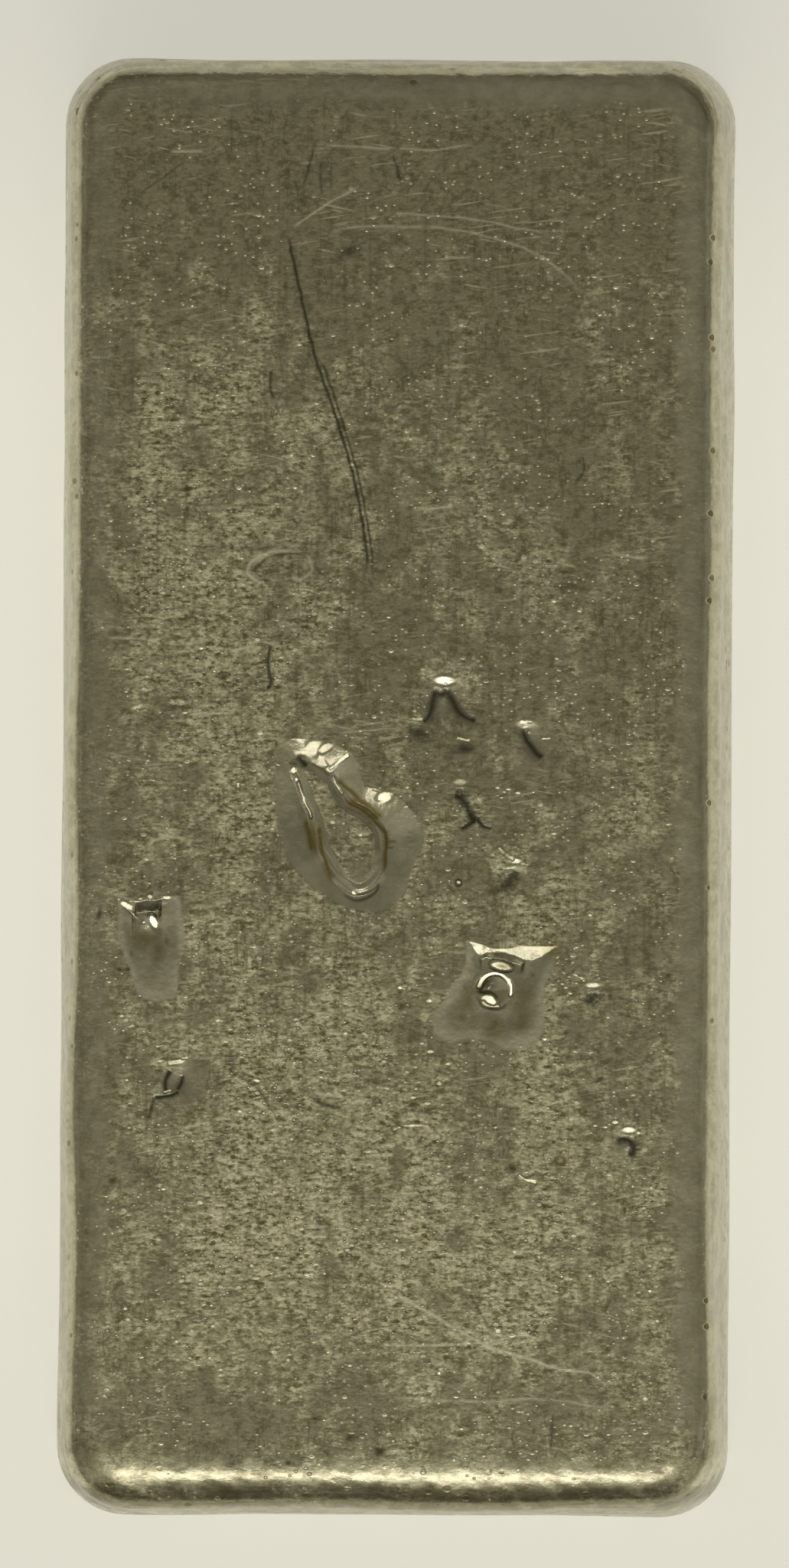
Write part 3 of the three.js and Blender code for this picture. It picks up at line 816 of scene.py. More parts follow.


# %% [markdown]
# Specks are the smallest marks that are placed one by one: bright beads of silver, and pits where a
# grain of slag fell out.

# %% Beads and pits
def specks(skin):
    # beads: x, y, size
    for x, y, size in (
        (0.27, -6.73, 0.08), (1.3, -8.86, 0.09), (0.55, -8.97, 0.045), (0.77, -8.98, 0.045),
        (1.07, -8.93, 0.05), (1.9, -9.27, 0.07), (1.88, -9.56, 0.06), (6.0, -11.1, 0.06),
        (5.8, -10.98, 0.04), (6.12, -10.95, 0.04), (1.6, -9.94, 0.09), (0.75, -10.4, 0.09),
        (1.2, -10.6, 0.08), (0.82, -10.12, 0.05), (5.7, -6.2, 0.05), (5.9, -6.36, 0.06),
        (5.4, -6.62, 0.05), (5.7, -6.6, 0.06), (5.86, -6.47, 0.05), (5.55, -6.35, 0.04),
        (5.82, -6.7, 0.05), (3.5, -0.05, 0.07), (3.86, -0.12, 0.07), (3.74, -0.2, 0.06),
        (4.17, -0.24, 0.08), (3.5, -0.3, 0.06), (3.65, -0.38, 0.06), (3.3, -0.13, 0.04),
        (-3.85, 0.67, 0.06), (-9.6, -4.32, 0.08), (-9.36, -4.28, 0.05), (3.05, -2.05, 0.05),
        (4.55, -12.87, 0.05), (1.95, -12.7, 0.05), (3.5, -11.4, 0.06), (3.65, -11.68, 0.06),
        (7.9, -12.24, 0.04), (-4.5, -10.42, 0.08), (-3.03, 6.45, 0.06), (-0.99, 5.81, 0.06),
        (-0.19, 5.63, 0.07), (-0.68, 5.07, 0.055), (-1.8, 6.78, 0.045), (-6.4, 6.75, 0.05),
        (-5.9, 6.75, 0.05), (-5.2, 6.62, 0.05), (-6.1, 6.5, 0.045), (-8.7, 6.1, 0.05), (6.4, -9.76, 0.05),
        (5.1, -8.43, 0.08)
    ):
        skin.facet((x, y), (1.15 * size, 0.8 * size), slope=0.18 + 0.7 * size)
    each(skin.facet, ((-7.18, 2.76), (0.34, 0.13), 0, 0.16), ((-8.5, 2.6), (0.25, 0.1), 25, 0.15))
    # pits: x, y, size, how dark each is painted
    for x, y, size, amount in (
        (6.96, -9.73, 0.09, 0.8), (4.06, -12.71, 0.12, 0.8), (4.25, -12.55, 0.06, 0.7),
        (5.14, -13.98, 0.1, 0.9), (4.98, -13.75, 0.08, 0.7), (5.42, -11.85, 0.05, 0.9),
        (-9.6, -4.21, 0.06, 1), (-9.76, -4.33, 0.06, 1), (-9.1, -6.16, 0.06, 1), (-8.84, -6.15, 0.06, 1),
        (1.62, -10.15, 0.12, 0.6), (0.75, -10.6, 0.14, 0.7), (1.22, -10.8, 0.16, 0.6),
        (0.3, -7.35, 0.09, 0.9), (7.3, -6.93, 0.05, 0.7), (9.25, -6.25, 0.1, 0.7), (5.8, -8.2, 0.08, 0.7),
        (-0.29, -22.15, 0.08, 0.8), (-9.3, -13.19, 0.1, 0.8), (-4.35, -6.95, 0.08, 0.7),
        (-4.45, -9.25, 0.12, 0.6), (-0.35, -22.15, 0.13, 1), (-3.4, -22.6, 0.1, 0.9),
        (-4.3, -23.0, 0.08, 0.8), (-8.8, -21.75, 0.12, 0.7), (-1.3, -21.65, 0.16, 0.6),
        (-5.67, 3.62, 0.12, 0.8), (-5.65, 3.32, 0.1, 0.7), (-2.5, -21.1, 0.1, 0.6),
        (-5.2, -22.75, 0.07, 0.7)
    ):
        skin.dimple((x, y), (size, size), 0.1 * size)
        skin.blot("dirt_and_shade", (x, y), (1.2 * size, size), amount)
        skin.blot("oxide", (x, y), (size, 0.8 * size), 0.4)
    for at, size in (((6.38, -10.81), 0.1), ((5.65, -12.47), 0.15)):
        skin.dimple(at, (size, size), 0.1 * size)
        skin.paint("oxide", ring(at, (size, size)), 0.05, 0.9, closed=True)


# %% [markdown]
# Scratches came later, from handling. One long double scratch is pressed in and painted dark along
# its fold. The others only polished the skin, so they are painted bright.

# %% Scratches
def scratches(skin):
    # the long double one
    long = [(-3.63, 18.47), (-3.05, 15.97), (-2.63, 14.26), (-1.88, 12.06), (-1.31, 10.12), (-0.96, 8.15),
            (-0.88, 7.1)]
    each(skin.crease, (long, 0.06, 0.9), ([(x + 0.17, y) for x, y in long[2:]], 0.045, 0.75))
    # dark ones
    skin.strokes("dirt_and_shade",
        ([(-3.07, 20.04), (-2.75, 21.35)], 0.045, 0.7), ([(-2.51, 19.71), (-2.52, 20.86)], 0.045, 0.6),
        ([(-0.14, 21.13), (0.2, 20.06)], 0.045, 0.7), ([(-8.63, 19.68), (-7.07, 20.84)], 0.04, 0.5),
        ([(6.26, 11.05), (6.32, 10.57), (6.04, 10.15)], 0.045, 0.6),
        ([(-5.37, -11.05), (-6.33, -13.36)], 0.15, 0.4), ([(2.6, -16.89), (3.32, -18.12)], 0.045, 0.6),
        ([(5.46, -20.87), (5.39, -22.18)], 0.045, 0.6),
        ([(-1.6, -10.78), (-2.1, -10.7), (-2.55, -10.55)], 0.06, 0.8),
        ([(-4.12, 4.75), (-4.2, 4.1), (-4.1, 3.45), (-4.3, 3.1)], 0.07, 0.95),
        ([(-4.55, 4.75), (-4.35, 4.65), (-4.15, 4.6)], 0.05, 0.6),
        ([(-4.1, 13.9), (-4.18, 13.3), (-4.02, 12.9)], 0.055, 0.8),
        ([(-3.05, 7.77), (-4.0, 7.66), (-4.45, 7.42), (-4.62, 7.15), (-4.3, 6.85)], 0.05, 0.65),
        ([(-3.9, 7.45), (-3.5, 7.25), (-3.2, 7.4)], 0.05, 0.5),
        ([(-6.95, 10.5), (-6.93, 8.75)], 0.045, 0.5),
        ([(-7.95, 10.2), (-7.9, 7.9), (-7.95, 5.4)], 0.04, 0.5),
        ([(-2.1, 9.2), (-2.05, 7.6)], 0.045, 0.5), ([(-4.25, 6.6), (-4.22, 5.5)], 0.045, 0.4)
    )
    # light ones
    skin.strokes("scour_and_highlight",
        ([(-3.48, 18.58), (-2.51, 19.3), (-1.21, 20.05)], 0.04, 0.7),
        ([(-2.5, 18.4), (-1.35, 18.66), (1.59, 18.63), (3.05, 18.36), (4.69, 17.8), (5.59, 17.14),
          (6.34, 16.43)], 0.038, 0.6),
        ([(-0.46, 19.16), (2.23, 18.97), (4.28, 18.62), (5.25, 18.49)], 0.03, 0.7),
        ([(-7.56, 21.17), (-6.43, 21.17)], 0.03, 0.9), ([(7.28, 7.78), (8.38, 7.61)], 0.035, 0.9),
        ([(0.98, 9.23), (2.0, 9.37)], 0.03, 0.9),
        ([(-2.62, -10.22), (-2.1, -10.35), (-1.55, -10.42)], 0.04, 0.9),
        ([(0.22, -16.96), (1.78, -17.87), (3.25, -18.65), (4.81, -19.16), (5.78, -19.46), (6.68, -19.56),
          (7.35, -20.04)], 0.045, 0.9),
        ([(-0.26, -18.67), (2.91, -18.58), (4.63, -18.24)], 0.035, 0.8),
        ([(-0.25, -20.39), (2.36, -20.53), (5.3, -20.46), (7.51, -20.78)], 0.035, 0.6),
        ([(-2.52, 21.4), (0.99, 21.26), (2.6, 21.45)], 0.03, 0.7),
        ([(-3.3, 7.82), (-4.1, 7.8), (-4.65, 7.55), (-4.9, 7.19), (-4.7, 6.9),
          (-4.33, 6.73)], 0.055, 0.8),
        ([(-6.66, 2.38), (-5.4, 2.4)], 0.035, 0.9), ([(-9.56, 4.9), (-8.2, 4.88)], 0.035, 0.8),
        ([(-5.5, 4.45), (-5.0, 4.6), (-4.6, 4.66)], 0.05, 0.9),
        ([(-4.26, 6.75), (-4.27, 5.94)], 0.05, 0.7),
        ([(-2.85, 7.6), (-2.75, 7.2), (-3.1, 6.9), (-3.5, 6.95)], 0.06, 0.6)
    )
    # smudges
    skin.blots("dirt_and_shade",
        ((-1.52, 17.85), (0.33, 0.18), 0.7), ((0.03, 18.19), (0.12, 0.16), 0.5),
        ((-3.23, 3.74), (0.2, 0.1), 0.5), ((-5.4, 6.35), (0.3, 0.15), 0.35),
        ((3.9, 4.9), (0.22, 0.15), 0.3), ((-6.8, -6.1), (0.35, 0.3), 0.25),
        ((-2.4, 20.6), (0.4, 0.3), 0.25), ((0.9, 2.75), (0.3, 0.2), 0.2), ((-2.9, 5.4), (0.25, 0.3), 0.3),
        ((-3.83, 4.83), (0.3, 0.2), 0.35), ((-5.7, 8.05), (0.45, 0.3), 0.25),
        ((-7.2, 2.58), (0.35, 0.12), 0.4)
    )


# %% [markdown]
# Wide zones come last. The grain is more open in some parts of the face than in others, and the
# shoulder stayed smooth where the metal froze first against the mould. Two long blots also paint the
# far end darker and the near part lighter, as painted shade and painted light.

# %% Zones
# waves, size and seed of the smooth strip's edge and of the dents beside it
STRIP_EDGE = (3.1, 2.3, 1.2, 0.7), 0.16, 5
DENTS = (1.9, 1.3, 0.9, 0.6, 0.43), 0.009, 11


def zones(skin):
    """Wide patches where the skin is etched more or less, with painted shade at the far end and painted
    light on the near part.
    """
    # the two blots 14 mm wide darken the far end and lighten the near part, as painted shade and light
    skin.blots("tone",
        ((-5.0, 9.0), (2.0, 6.0), 0.09), ((-4.8, -11.0), (2.4, 5.0), 0.12),
        ((-5.8, 0.0), (2.2, 5.0), 0.08), ((7.1, 14.8), (1.8, 1.8), 0.05), ((-8.2, 5.5), (1.1, 3.5), 0.09),
        ((-8.2, 12.5), (1.0, 4.0), 0.06), ((-5.4, 15.0), (2.0, 2.3), 0.02),
        ((1.8, -8.6), (0.35, 0.3), -0.3), ((3.5, 11.0), (4.0, 5.0), -0.02), ((0, 20.5), (14, 4.5), -0.15),
        ((0, -15.5), (14, 6), 0.04), ((0, -20.8), (12, 1.5), -0.07), ((-6.5, -10.2), (1.5, 1.0), -0.1),
        ((-1.0, 4.5), (1.2, 1.5), -0.1), ((-6.8, -3.0), (0.9, 2.0), -0.08),
        ((-3.8, -6.5), (0.8, 1.3), -0.1), ((9.3, -3), (1.0, 14), -0.05), ((-9.4, -3), (0.8, 14), -0.05),
        ((2.0, -12.5), (3.0, 4.0), 0.05), ((-1.5, -1.7), (0.8, 1.3), -0.08),
        ((3.0, 2.5), (3.5, 2.5), -0.03)
    )
    # the shoulder and a strip beside it stayed smooth
    out = np.abs(skin.spots) - (FACE_HALF - FACE_CORNER)
    away = np.hypot(*np.maximum(out, 0).T) + np.minimum(out.max(1), 0) - FACE_CORNER
    away += wobble(skin.spots, *STRIP_EDGE)[:, 0]
    near_foot = ramp(-skin.spots[:, 1], 20.5, 22)
    sides = 0.45 + 0.4 * ramp(skin.spots[:, 0], -4, 4)
    smooth = sides * (1 - 0.8 * near_foot) * ramp(away, -0.3, 0.25)
    skin.coat["gloss"] = np.maximum(skin.coat["gloss"], smooth)
    skin.high += wobble(skin.spots, *DENTS)[:, 0] * ramp(away, -0.1, 0.3)


# %% All marks together
def relief(spots):
    skin = PaintedSkin(spots)
    for mark in (tear, tear_finish, crater, crater_ring, bead_pocket, bead, arch, slit, branch,
                 sparkle_pocket, hook, crescent, specks, scratches, zones):
        mark(skin)
    return skin

# %% [markdown]
# ## Small cells only where they are needed
#
# The finest marks are 0.05 mm wide, and the face is 45 mm long. Cells that small all over would make
# millions of faces. A *Multires* modifier would do just that. Instead the skin is asked for its
# heights and paints on a fine grid of spots, called the scout. Where the heights bend, or a paint has
# an edge, the cells of the mesh are cut in four, up to four times.

# %% Scout the face
FACE_CELLS = np.array([27, 63])
PARTS = 8
FINE = GRID / PARTS

half = FACE_CELLS * PARTS
spots_x, spots_y = ((np.arange(-n, n) + 0.5) * FINE for n in half)
grid_x, grid_y = np.meshgrid(spots_x, spots_y, indexing="ij")
scout = relief(np.stack([grid_x.ravel(), grid_y.ravel()], 1))
shape = grid_x.shape
ground = scout.high.reshape(shape)
bend = np.zeros(shape)
bend[1:-1] += abs(ground[2:] - 2 * ground[1:-1] + ground[:-2])
bend[:, 1:-1] += abs(ground[:, 2:] - 2 * ground[:, 1:-1] + ground[:, :-2])
edge = np.zeros(shape)
for name in ("dirt_and_shade", "oxide", "scour_and_highlight"):
    coat = scout.coat[name].reshape(shape)
    edge[1:-1] += abs(coat[2:] - coat[:-2])
    edge[:, 1:-1] += abs(coat[:, 2:] - coat[:, :-2])
print("scouted", bend.size, "spots, deepest", ground.min().round(3), "highest", ground.max().round(3))

# %% [markdown]
# Each pass picks the faces whose middle lies in a wanted block of the scout, and subdivides them
# once. The passes go from large blocks to small ones, and only a sharper bend asks for a smaller cell.
# A neighbour that isn't cut gets extra corners on its edges, so there are no cracks. At the end
# everything is cut into triangles, because a face with many corners shades badly.

# %% Find the cells to cut
# spots to a block, the bend and the paint's edge past which it is cut, and whether its neighbours are
PASSES = (
    (8, 0.0008, 0.15, True),
    (4, 0.0017, 0.31, True),
    (2, 0.0042, 0.55, False),
    (1, 0.0088, 2.0, False),
)


def blocks(values, size, around):
    """The largest value in each block of so many spots, or also in the blocks around it."""
    x, y = values.shape
    most = values.reshape(x // size, size, y // size, size).max(axis=(1, 3))
    if around:
        x, y = most.shape
        wide = np.pad(most, 1)
        most = np.max([wide[i:i + x, j:j + y] for i in range(3) for j in range(3)], axis=0)
    return most


def lies_in(wanted, size):
    """A test of whether a face of the flat top lies in a wanted block."""
    last = np.array(wanted.shape) - 1

    def test(x, y, z):
        block = np.floor(np.stack([x, y], 1) / (FINE * size)).astype(int) + half // size
        there = ((block >= 0) & (block <= last)).all(1) & (z > HEIGHT - ON_LEVEL)
        return there & wanted[tuple(np.clip(block, 0, last).T)]

    return test


# %% Cut them
for size, most_bend, most_edge, around in PASSES:
    wanted = (blocks(bend, size, around) > most_bend) | (blocks(edge, size, around) > most_edge)
    count = choose("FACE", lies_in(wanted, size))
    bpy.ops.mesh.subdivide(number_cuts=1)
    print("cells of", round(FINE * size, 3), "mm cut in four:", count)
bpy.ops.mesh.select_all(action="SELECT")
bpy.ops.mesh.quads_convert_to_tris()
rest()
print("triangles:", len(ingot.data.polygons))

# %% [markdown]
# ## Press the relief in
#
# Now the same drawing is asked again, at the place of each vertex near the top, and the heights are
# added. The flanks and the shoulder get long, shallow waves along their normals, only inwards, so
# that the bar stays inside its measured size. The paint layers are written on the mesh as attributes,
# where the material can read them. One more, *flank*, marks the sides from a ragged line on the
# shoulder downwards.

# %% Move the vertices
CLEAR = 0.055  # the face lies this far below the CAD's, so that beads can stand on it
SWELL = 0.05
UNEVEN = (7.1, 4.3, 3.2, 2.4), SWELL, 7  # waves, size, seed
FULL_AT, SOONER = 0.9, 0.55  # the waves are full so far below the face, and sooner at the near end
mesh = ingot.data
places = numbers(mesh.vertices, "co", 3)
outward = numbers(mesh.vertices, "normal", 3)
below = HEIGHT - places[:, 2]
top = np.flatnonzero(below < SHOULDER_DEEP)
skin = relief(places[top, :2])

# the shoulder and the flanks are never quite even
outline = np.stack([places[:, 0] + places[:, 1], places[:, 2]], 1)
uneven = wobble(outline, *UNEVEN)[:, 0] - 1.6 * SWELL
full_at = FULL_AT - SOONER * ramp(-places[:, 1], 19.5, 22)
uneven = np.minimum(uneven, 0) * ramp(below / full_at, 0.02, 1) * ramp(places[:, 2], 0.2, 0.9)
places += outward * uneven[:, None]
places[:, 2] -= CLEAR * (1 - ramp(below, 0, 0.6))
places[top, 2] += skin.high
mesh.vertices.foreach_set("co", places.ravel())


# %% Write the paint layers
RAGGED = (5.3, 2.1, 1.1, 0.6), 0.10, 9
FLANK_START = 0.38, 0.80


def write(name, values):
    layer = mesh.attributes.new(name, "FLOAT", "POINT")
    layer.data.foreach_set("value", np.asarray(values, np.float32))


for name, values in skin.coat.items():
    whole = np.zeros(len(places))
    whole[top] = values
    write(name, whole)
ragged = below + wobble(outline, *RAGGED)[:, 0]
write("flank", ramp(ragged, *FLANK_START))
mesh.update()
print("highest point:", places[:, 2].max().round(3), "of", HEIGHT.round(3))

# %% [markdown]
# ## Back to metres
#
# The frame is in metres, so the bar is scaled once and the scale is applied. Its origin stays at the
# middle of its foot, where the frame's own origin is. Smooth shading suits it, because the rounded
# edges have enough faces of their own.

# %% Scale and shade
MILLIMETRE = 0.001
ingot.scale = (MILLIMETRE, MILLIMETRE, MILLIMETRE)
bpy.ops.object.select_all(action="DESELECT")
ingot.select_set(True)
bpy.context.view_layer.objects.active = ingot
bpy.ops.object.transform_apply(location=False, rotation=False, scale=True)
bpy.ops.object.shade_smooth()
print("bar in metres:", [round(side, 5) for side in ingot.dimensions])

# %% [markdown]
# ## The finish
#
# Silver that froze against a mould is not mirror-bright. Its skin is grey where it froze smooth, and
# khaki where the grain was etched open, with short level strokes, upright streaks, glints and pits.
# An image texture would need a scan. Noise and scattered dots can be mixed by nodes instead, at the
# size that each has on the metal. A few helpers keep the node tree readable: each makes one node and
# hands back its output. They build in whichever tree the name *tree* stands for.

# %% Helpers for nodes
silver = bpy.data.materials.new("cast_silver")
silver.use_nodes = True
tree = silver.node_tree


def feed(socket, value):
    """Gives a socket a plain value, or a link from another socket."""
    if isinstance(value, bpy.types.NodeSocket):
        tree.links.new(value, socket)
    else:
        socket.default_value = value


def put(kind, inputs=(), **settings):
    """A new node with some of its settings, and its inputs by name or number."""
    node = tree.nodes.new("ShaderNode" + kind)
    for name, value in settings.items():
        setattr(node, name, value)
    for name, value in dict(inputs).items():
        feed(node.inputs[name], value)
    return node


def calc(operation, *values):
    return put("Math", enumerate(values), operation=operation).outputs[0]


# %% Sums
def times(a, b):
    return calc("MULTIPLY", a, b)


def minus(a, b):
    return calc("SUBTRACT", a, b)


def plus(*parts):
    total = parts[0]
    for part in parts[1:]:
        total = calc("ADD", total, part)
    return total


def step(value, start, end):
    """0 at start, 1 at end, and a soft rise between."""
    node = put("MapRange", enumerate((value, start, end)), interpolation_type="SMOOTHSTEP")
    return node.outputs["Result"]


# %% Mixes
def blend(share, one, other):
    return put("Mix", {0: share, 6: one, 7: other}, data_type="RGBA").outputs[2]


def lay(under, *coats):
    """Lays other colours over one, in turn, each as (its share, the colour)."""
    for share, over in coats:
        under = blend(share, under, over)
    return under


def axes(vector):
    """The X, Y and Z of a place or a direction."""
    return put("SeparateXYZ", {0: vector}).outputs


# %% [markdown]
# All patterns are measured in steps to the millimetre along each axis of the bar, so a stroke that is
# short along Y and long along X comes out level. *grains* scatters points and turns some of them into
# round specks. *thin* finds the line where a noise passes its middle, which looks like a crack.

# %% Patterns by the millimetre
where = put("TexCoord").outputs["Object"]


def per_mm(x, y, z=None, turn=0, shift=0):
    """Places in so many steps to the millimetre, turned in degrees and moved along by shift."""
    spots = where
    if turn:
        spots = put("Mapping", {"Vector": where, "Rotation": (0, 0, radians(turn))}).outputs[0]
    scale = (x / MILLIMETRE, y / MILLIMETRE, (z or x) / MILLIMETRE)
    moved = (shift, shift * 0.7, shift * 0.3)
    return put("Mapping", {"Vector": spots, "Scale": scale, "Location": moved}).outputs[0]


def noise(spots, detail=2, roughness=0.5, distortion=0):
    wants = {"Vector": spots, "Scale": 1, "Detail": detail, "Roughness": roughness}
    return put("TexNoise", {**wants, "Distortion": distortion}).outputs["Fac"]


def grains(spots, size, share, channel=0):
    """Round specks of one size, in that share of the cells."""
    cells = put("TexVoronoi", {"Vector": spots, "Scale": 1}).outputs
    lots = put("SeparateColor", {0: cells["Color"]}).outputs
    return times(step(cells["Distance"], size, size * 0.5), step(lots[channel], 1 - share, 1.05 - share))


def thin(value, width):
    return step(calc("ABSOLUTE", minus(value, 0.5)), width, 0)


# %% [markdown]
# ### Skin
#
# The colours are those of tarnished silver in its different states. Drifts of etched grain run up and
# down the bar. On them lie the level strokes, dark and light.

# %% Colours and paint layers
dull = (0.365, 0.34, 0.24, 1)
khaki = (0.80, 0.75, 0.525, 1)
pale = (0.88, 0.84, 0.62, 1)
white = (1.0, 0.97, 0.80, 1)
olive = (0.15, 0.138, 0.070, 1)
umber = (0.20, 0.150, 0.042, 1)
mirror = (0.46, 0.445, 0.345, 1)
dirt_and_shade_colour = (0.055, 0.055, 0.042, 1)
chalk = (0.60, 0.57, 0.425, 1)
chalk_with_floor_reflection = (0.72, 0.69, 0.55, 1)

tone, gloss, dirt_and_shade, oxide, scour_and_highlight, flank = (
    put("Attribute", attribute_name=name).outputs["Fac"] for name in (*COATS, "flank")
)

# %% Etched grain and strokes
drift = noise(per_mm(0.35, 0.12, 0.2), detail=5, roughness=0.62)
patchy = noise(per_mm(1.1, 0.8), detail=4, roughness=0.64)
# etched grain, which also carries the painted shade and light of the tone layer
etched_and_lit = step(plus(times(drift, 0.45), times(patchy, 0.55), tone), 0.42, 0.62)

stroke = noise(per_mm(2.5, 6.6), detail=2.5, roughness=0.62, distortion=0.4)
fleck = noise(per_mm(7, 11, shift=6), detail=1, roughness=0.6)
strokes = plus(times(stroke, 0.55), times(fleck, 0.45))
dark = step(strokes, 0.49, 0.365)
light = step(strokes, 0.505, 0.60)
mottle = noise(per_mm(3.0, 3.4, shift=11), detail=3, roughness=0.7)

colour = lay(
    blend(plus(times(etched_and_lit, 0.43), 0.06), dull, khaki),
    (times(step(mottle, 0.54, 0.36), 0.5), olive),
    (times(dark, plus(times(etched_and_lit, 0.72), 0.24)), olive),
    (times(light, plus(times(etched_and_lit, 0.86), 0.10)), pale),
)

# %% [markdown]
# Over the strokes come fine cracks between the grains, upright streaks from the wall of the mould, and
# hairlines painted pale as painted highlights. Each pattern only shows in patches, which a second noise
# picks.

# %% Cracks, streaks and hairlines
cracks = times(thin(noise(per_mm(1.6, 2.8, shift=4), detail=2, roughness=0.6), 0.045),
               step(noise(per_mm(1.2, 1.2, shift=9)), 0.46, 0.60))
upright = times(thin(noise(per_mm(1.3, 0.4, shift=14), detail=3, roughness=0.65), 0.022),
                step(noise(per_mm(0.6, 0.35, shift=2)), 0.5, 0.62))
streaks = noise(per_mm(4.5, 0.25, 6), detail=2.5, roughness=0.65)
# painted highlights along level hairlines
hairs = calc(
    "MAXIMUM",
    step(noise(per_mm(0.7, 9, 5, turn=-9, shift=3), detail=1, roughness=0.4), 0.66, 0.74),
    step(noise(per_mm(0.8, 10, 5, turn=11, shift=8), detail=1, roughness=0.4), 0.68, 0.76),
)
hairs = times(hairs, step(noise(per_mm(0.5, 0.5, shift=21), detail=2), 0.45, 0.6))
colour = lay(
    colour,
    (times(step(streaks, 0.46, 0.28), 0.3), olive),
    (times(cracks, 0.5), olive),
    (times(upright, 0.5), olive),
    (times(hairs, 0.5), pale),
)

# %% [markdown]
# Glints are tiny grains that stand proud, painted near white as painted highlights, and pits are
# holes that they left. Both lie in swarms.

# %% Glints and pits
swarm = noise(per_mm(0.5, 0.6, shift=17), detail=3, roughness=0.6)
swarm = times(step(swarm, 0.43, 0.55), plus(times(etched_and_lit, 0.75), 0.25))
glint = calc("MAXIMUM", grains(per_mm(3.4, 4.6), 0.27, 0.75), grains(per_mm(1.6, 2.4, shift=27), 0.22, 0.5))
glint = times(glint, swarm)
pits = times(grains(per_mm(2.0, 2.4, shift=5), 0.24, 0.5, channel=1), swarm)
# the glints are painted highlights, the pits are umber
colour = lay(colour, (times(glint, 0.9), white), (times(pits, 0.8), umber))

# %% [markdown]
# ### Pockets, flanks and rim
#
# In the pockets the metal froze smooth, so they show one quiet grey with a little tarnish. The flanks
# are chalky, with fine strata, painted paler towards the foot as a painted reflection of the floor, and
# stained at one corner. Scuffs run round the rim, where the bar rubbed against others, and the rim has
# small chips. Places are in metres here, each as where a change starts and where it ends.

# %% Pockets and flanks
FOOT = 0.0045, 0.0010
STAINED_X, STAINED_Y = (-0.0075, -0.0105), (-0.0205, -0.0240)
bar_x, bar_y, bar_z = axes(where)
clouds = step(noise(per_mm(1.3, 1.3, shift=31), detail=4, roughness=0.65), 0.3, 0.7)
quiet = blend(clouds, blend(0.25, mirror, umber), blend(0.12, mirror, pale))
stains = noise(per_mm(1.5, 1.5, 0.7, shift=13), detail=6, roughness=0.8)
corner = times(step(bar_x, *STAINED_X), step(bar_y, *STAINED_Y))
stained = times(step(stains, 0.62, 0.38), plus(times(corner, 0.4), 0.42))
chalky = blend(stained, blend(step(bar_z, *FOOT), chalk, chalk_with_floor_reflection), olive)
colour = lay(colour, (gloss, quiet), (flank, chalky))

# %% Scuffs and chips on the rim
BELOW_FACE = 0.00868, 0.0084
BAR_ENDS = 0.0205, 0.0220
rim = step(bar_z, *BELOW_FACE)
at_ends = step(calc("ABSOLUTE", bar_y), *BAR_ENDS)
scuffed = times(rim, plus(times(at_ends, 0.3), times(flank, -0.15), 0.2))
scuffs = noise(per_mm(0.25, 0.25, 3.2, shift=41), detail=4, roughness=0.7)
chips = times(grains(per_mm(1.5, 1.9, 1.4, shift=33), 0.26, 0.22), rim)
colour = lay(
    colour,
    (times(step(scuffs, 0.54, 0.70), scuffed), pale),
    (times(step(scuffs, 0.47, 0.33), scuffed), olive),
    (times(chips, 0.8), umber),
)

# %% [markdown]
# On the near shoulder a broad band is painted bright, as a painted highlight of the soft box, and
# below the band it is painted dark, as painted shade. All the edges wander a little. Last come the
# paint layers that the marks were given.

# %% Painted highlight and painted shade on the near shoulder
HIGHLIGHT_START, HIGHLIGHT_END, SHADE_END = (-0.02175, -0.02215), (-0.02265, -0.02305), (-0.02345, -0.02385)
wander = plus(bar_y, times(noise(per_mm(1.1, 1.1, shift=51), detail=3, roughness=0.65), 0.0011))
# a band painted pale as a highlight, and a band below it painted dark as shade
highlight_band = times(step(wander, *HIGHLIGHT_START), step(wander, *HIGHLIGHT_END[::-1]))
shade_band = times(step(wander, *HIGHLIGHT_END), step(wander, *SHADE_END[::-1]))
uneven_highlight = step(noise(per_mm(1.3, 2.4, shift=61), detail=3, roughness=0.7), 0.38, 0.6)
colour = lay(
    colour,
    (times(highlight_band, plus(times(uneven_highlight, 0.42), 0.08)), pale),
    (times(shade_band, 0.45), olive),
)

# %% Marks
# the bright layer is polished scratches and painted highlights, the dark one dirt and painted shade
colour = lay(colour, (times(scour_and_highlight, 0.8), white), (dirt_and_shade, dirt_and_shade_colour), (oxide, umber))

# %% [markdown]
# ### Bump and roughness
#
# What is smaller than the cells of the mesh, such as strokes, glints and the faint pebbling of the
# pockets, is left to bump. Open grain, dirt and tarnish scatter the light more than smooth metal does,
# so they are rougher, and the painted shade that shares the dirt's layer is rough with it.

# %% Bump, with each pattern's height in millimetres
heights = (strokes, 0.006), (mottle, 0.010), (streaks, 0.004), (glint, 0.034)
grain = minus(plus(*(times(pattern, high) for pattern, high in heights)), times(pits, 0.01))
grain = times(grain, plus(times(minus(1, gloss), 0.85), 0.15))
pebbles = times(times(noise(per_mm(4.5, 4.5, shift=19), detail=2), gloss), 0.012)
relief_map = minus(plus(grain, pebbles), times(chips, 0.02))
bump = put("Bump", {"Distance": MILLIMETRE, "Height": relief_map}).outputs[0]

# %% Roughness, and the shader
rough = plus(0.20, times(noise(per_mm(2, 2), detail=3), 0.08), times(etched_and_lit, 0.12))
rough = minus(rough, times(gloss, 0.06))
for rougher, least in ((dirt_and_shade, 0.4), (oxide, 0.35), (flank, 0.35), (highlight_band, 0.27)):
    rough = calc("MAXIMUM", rough, times(rougher, least))


def set_shader(values):
    """Feeds the tree's own shader."""
    for name, value in values.items():
        feed(tree.nodes["Principled BSDF"].inputs[name], value)


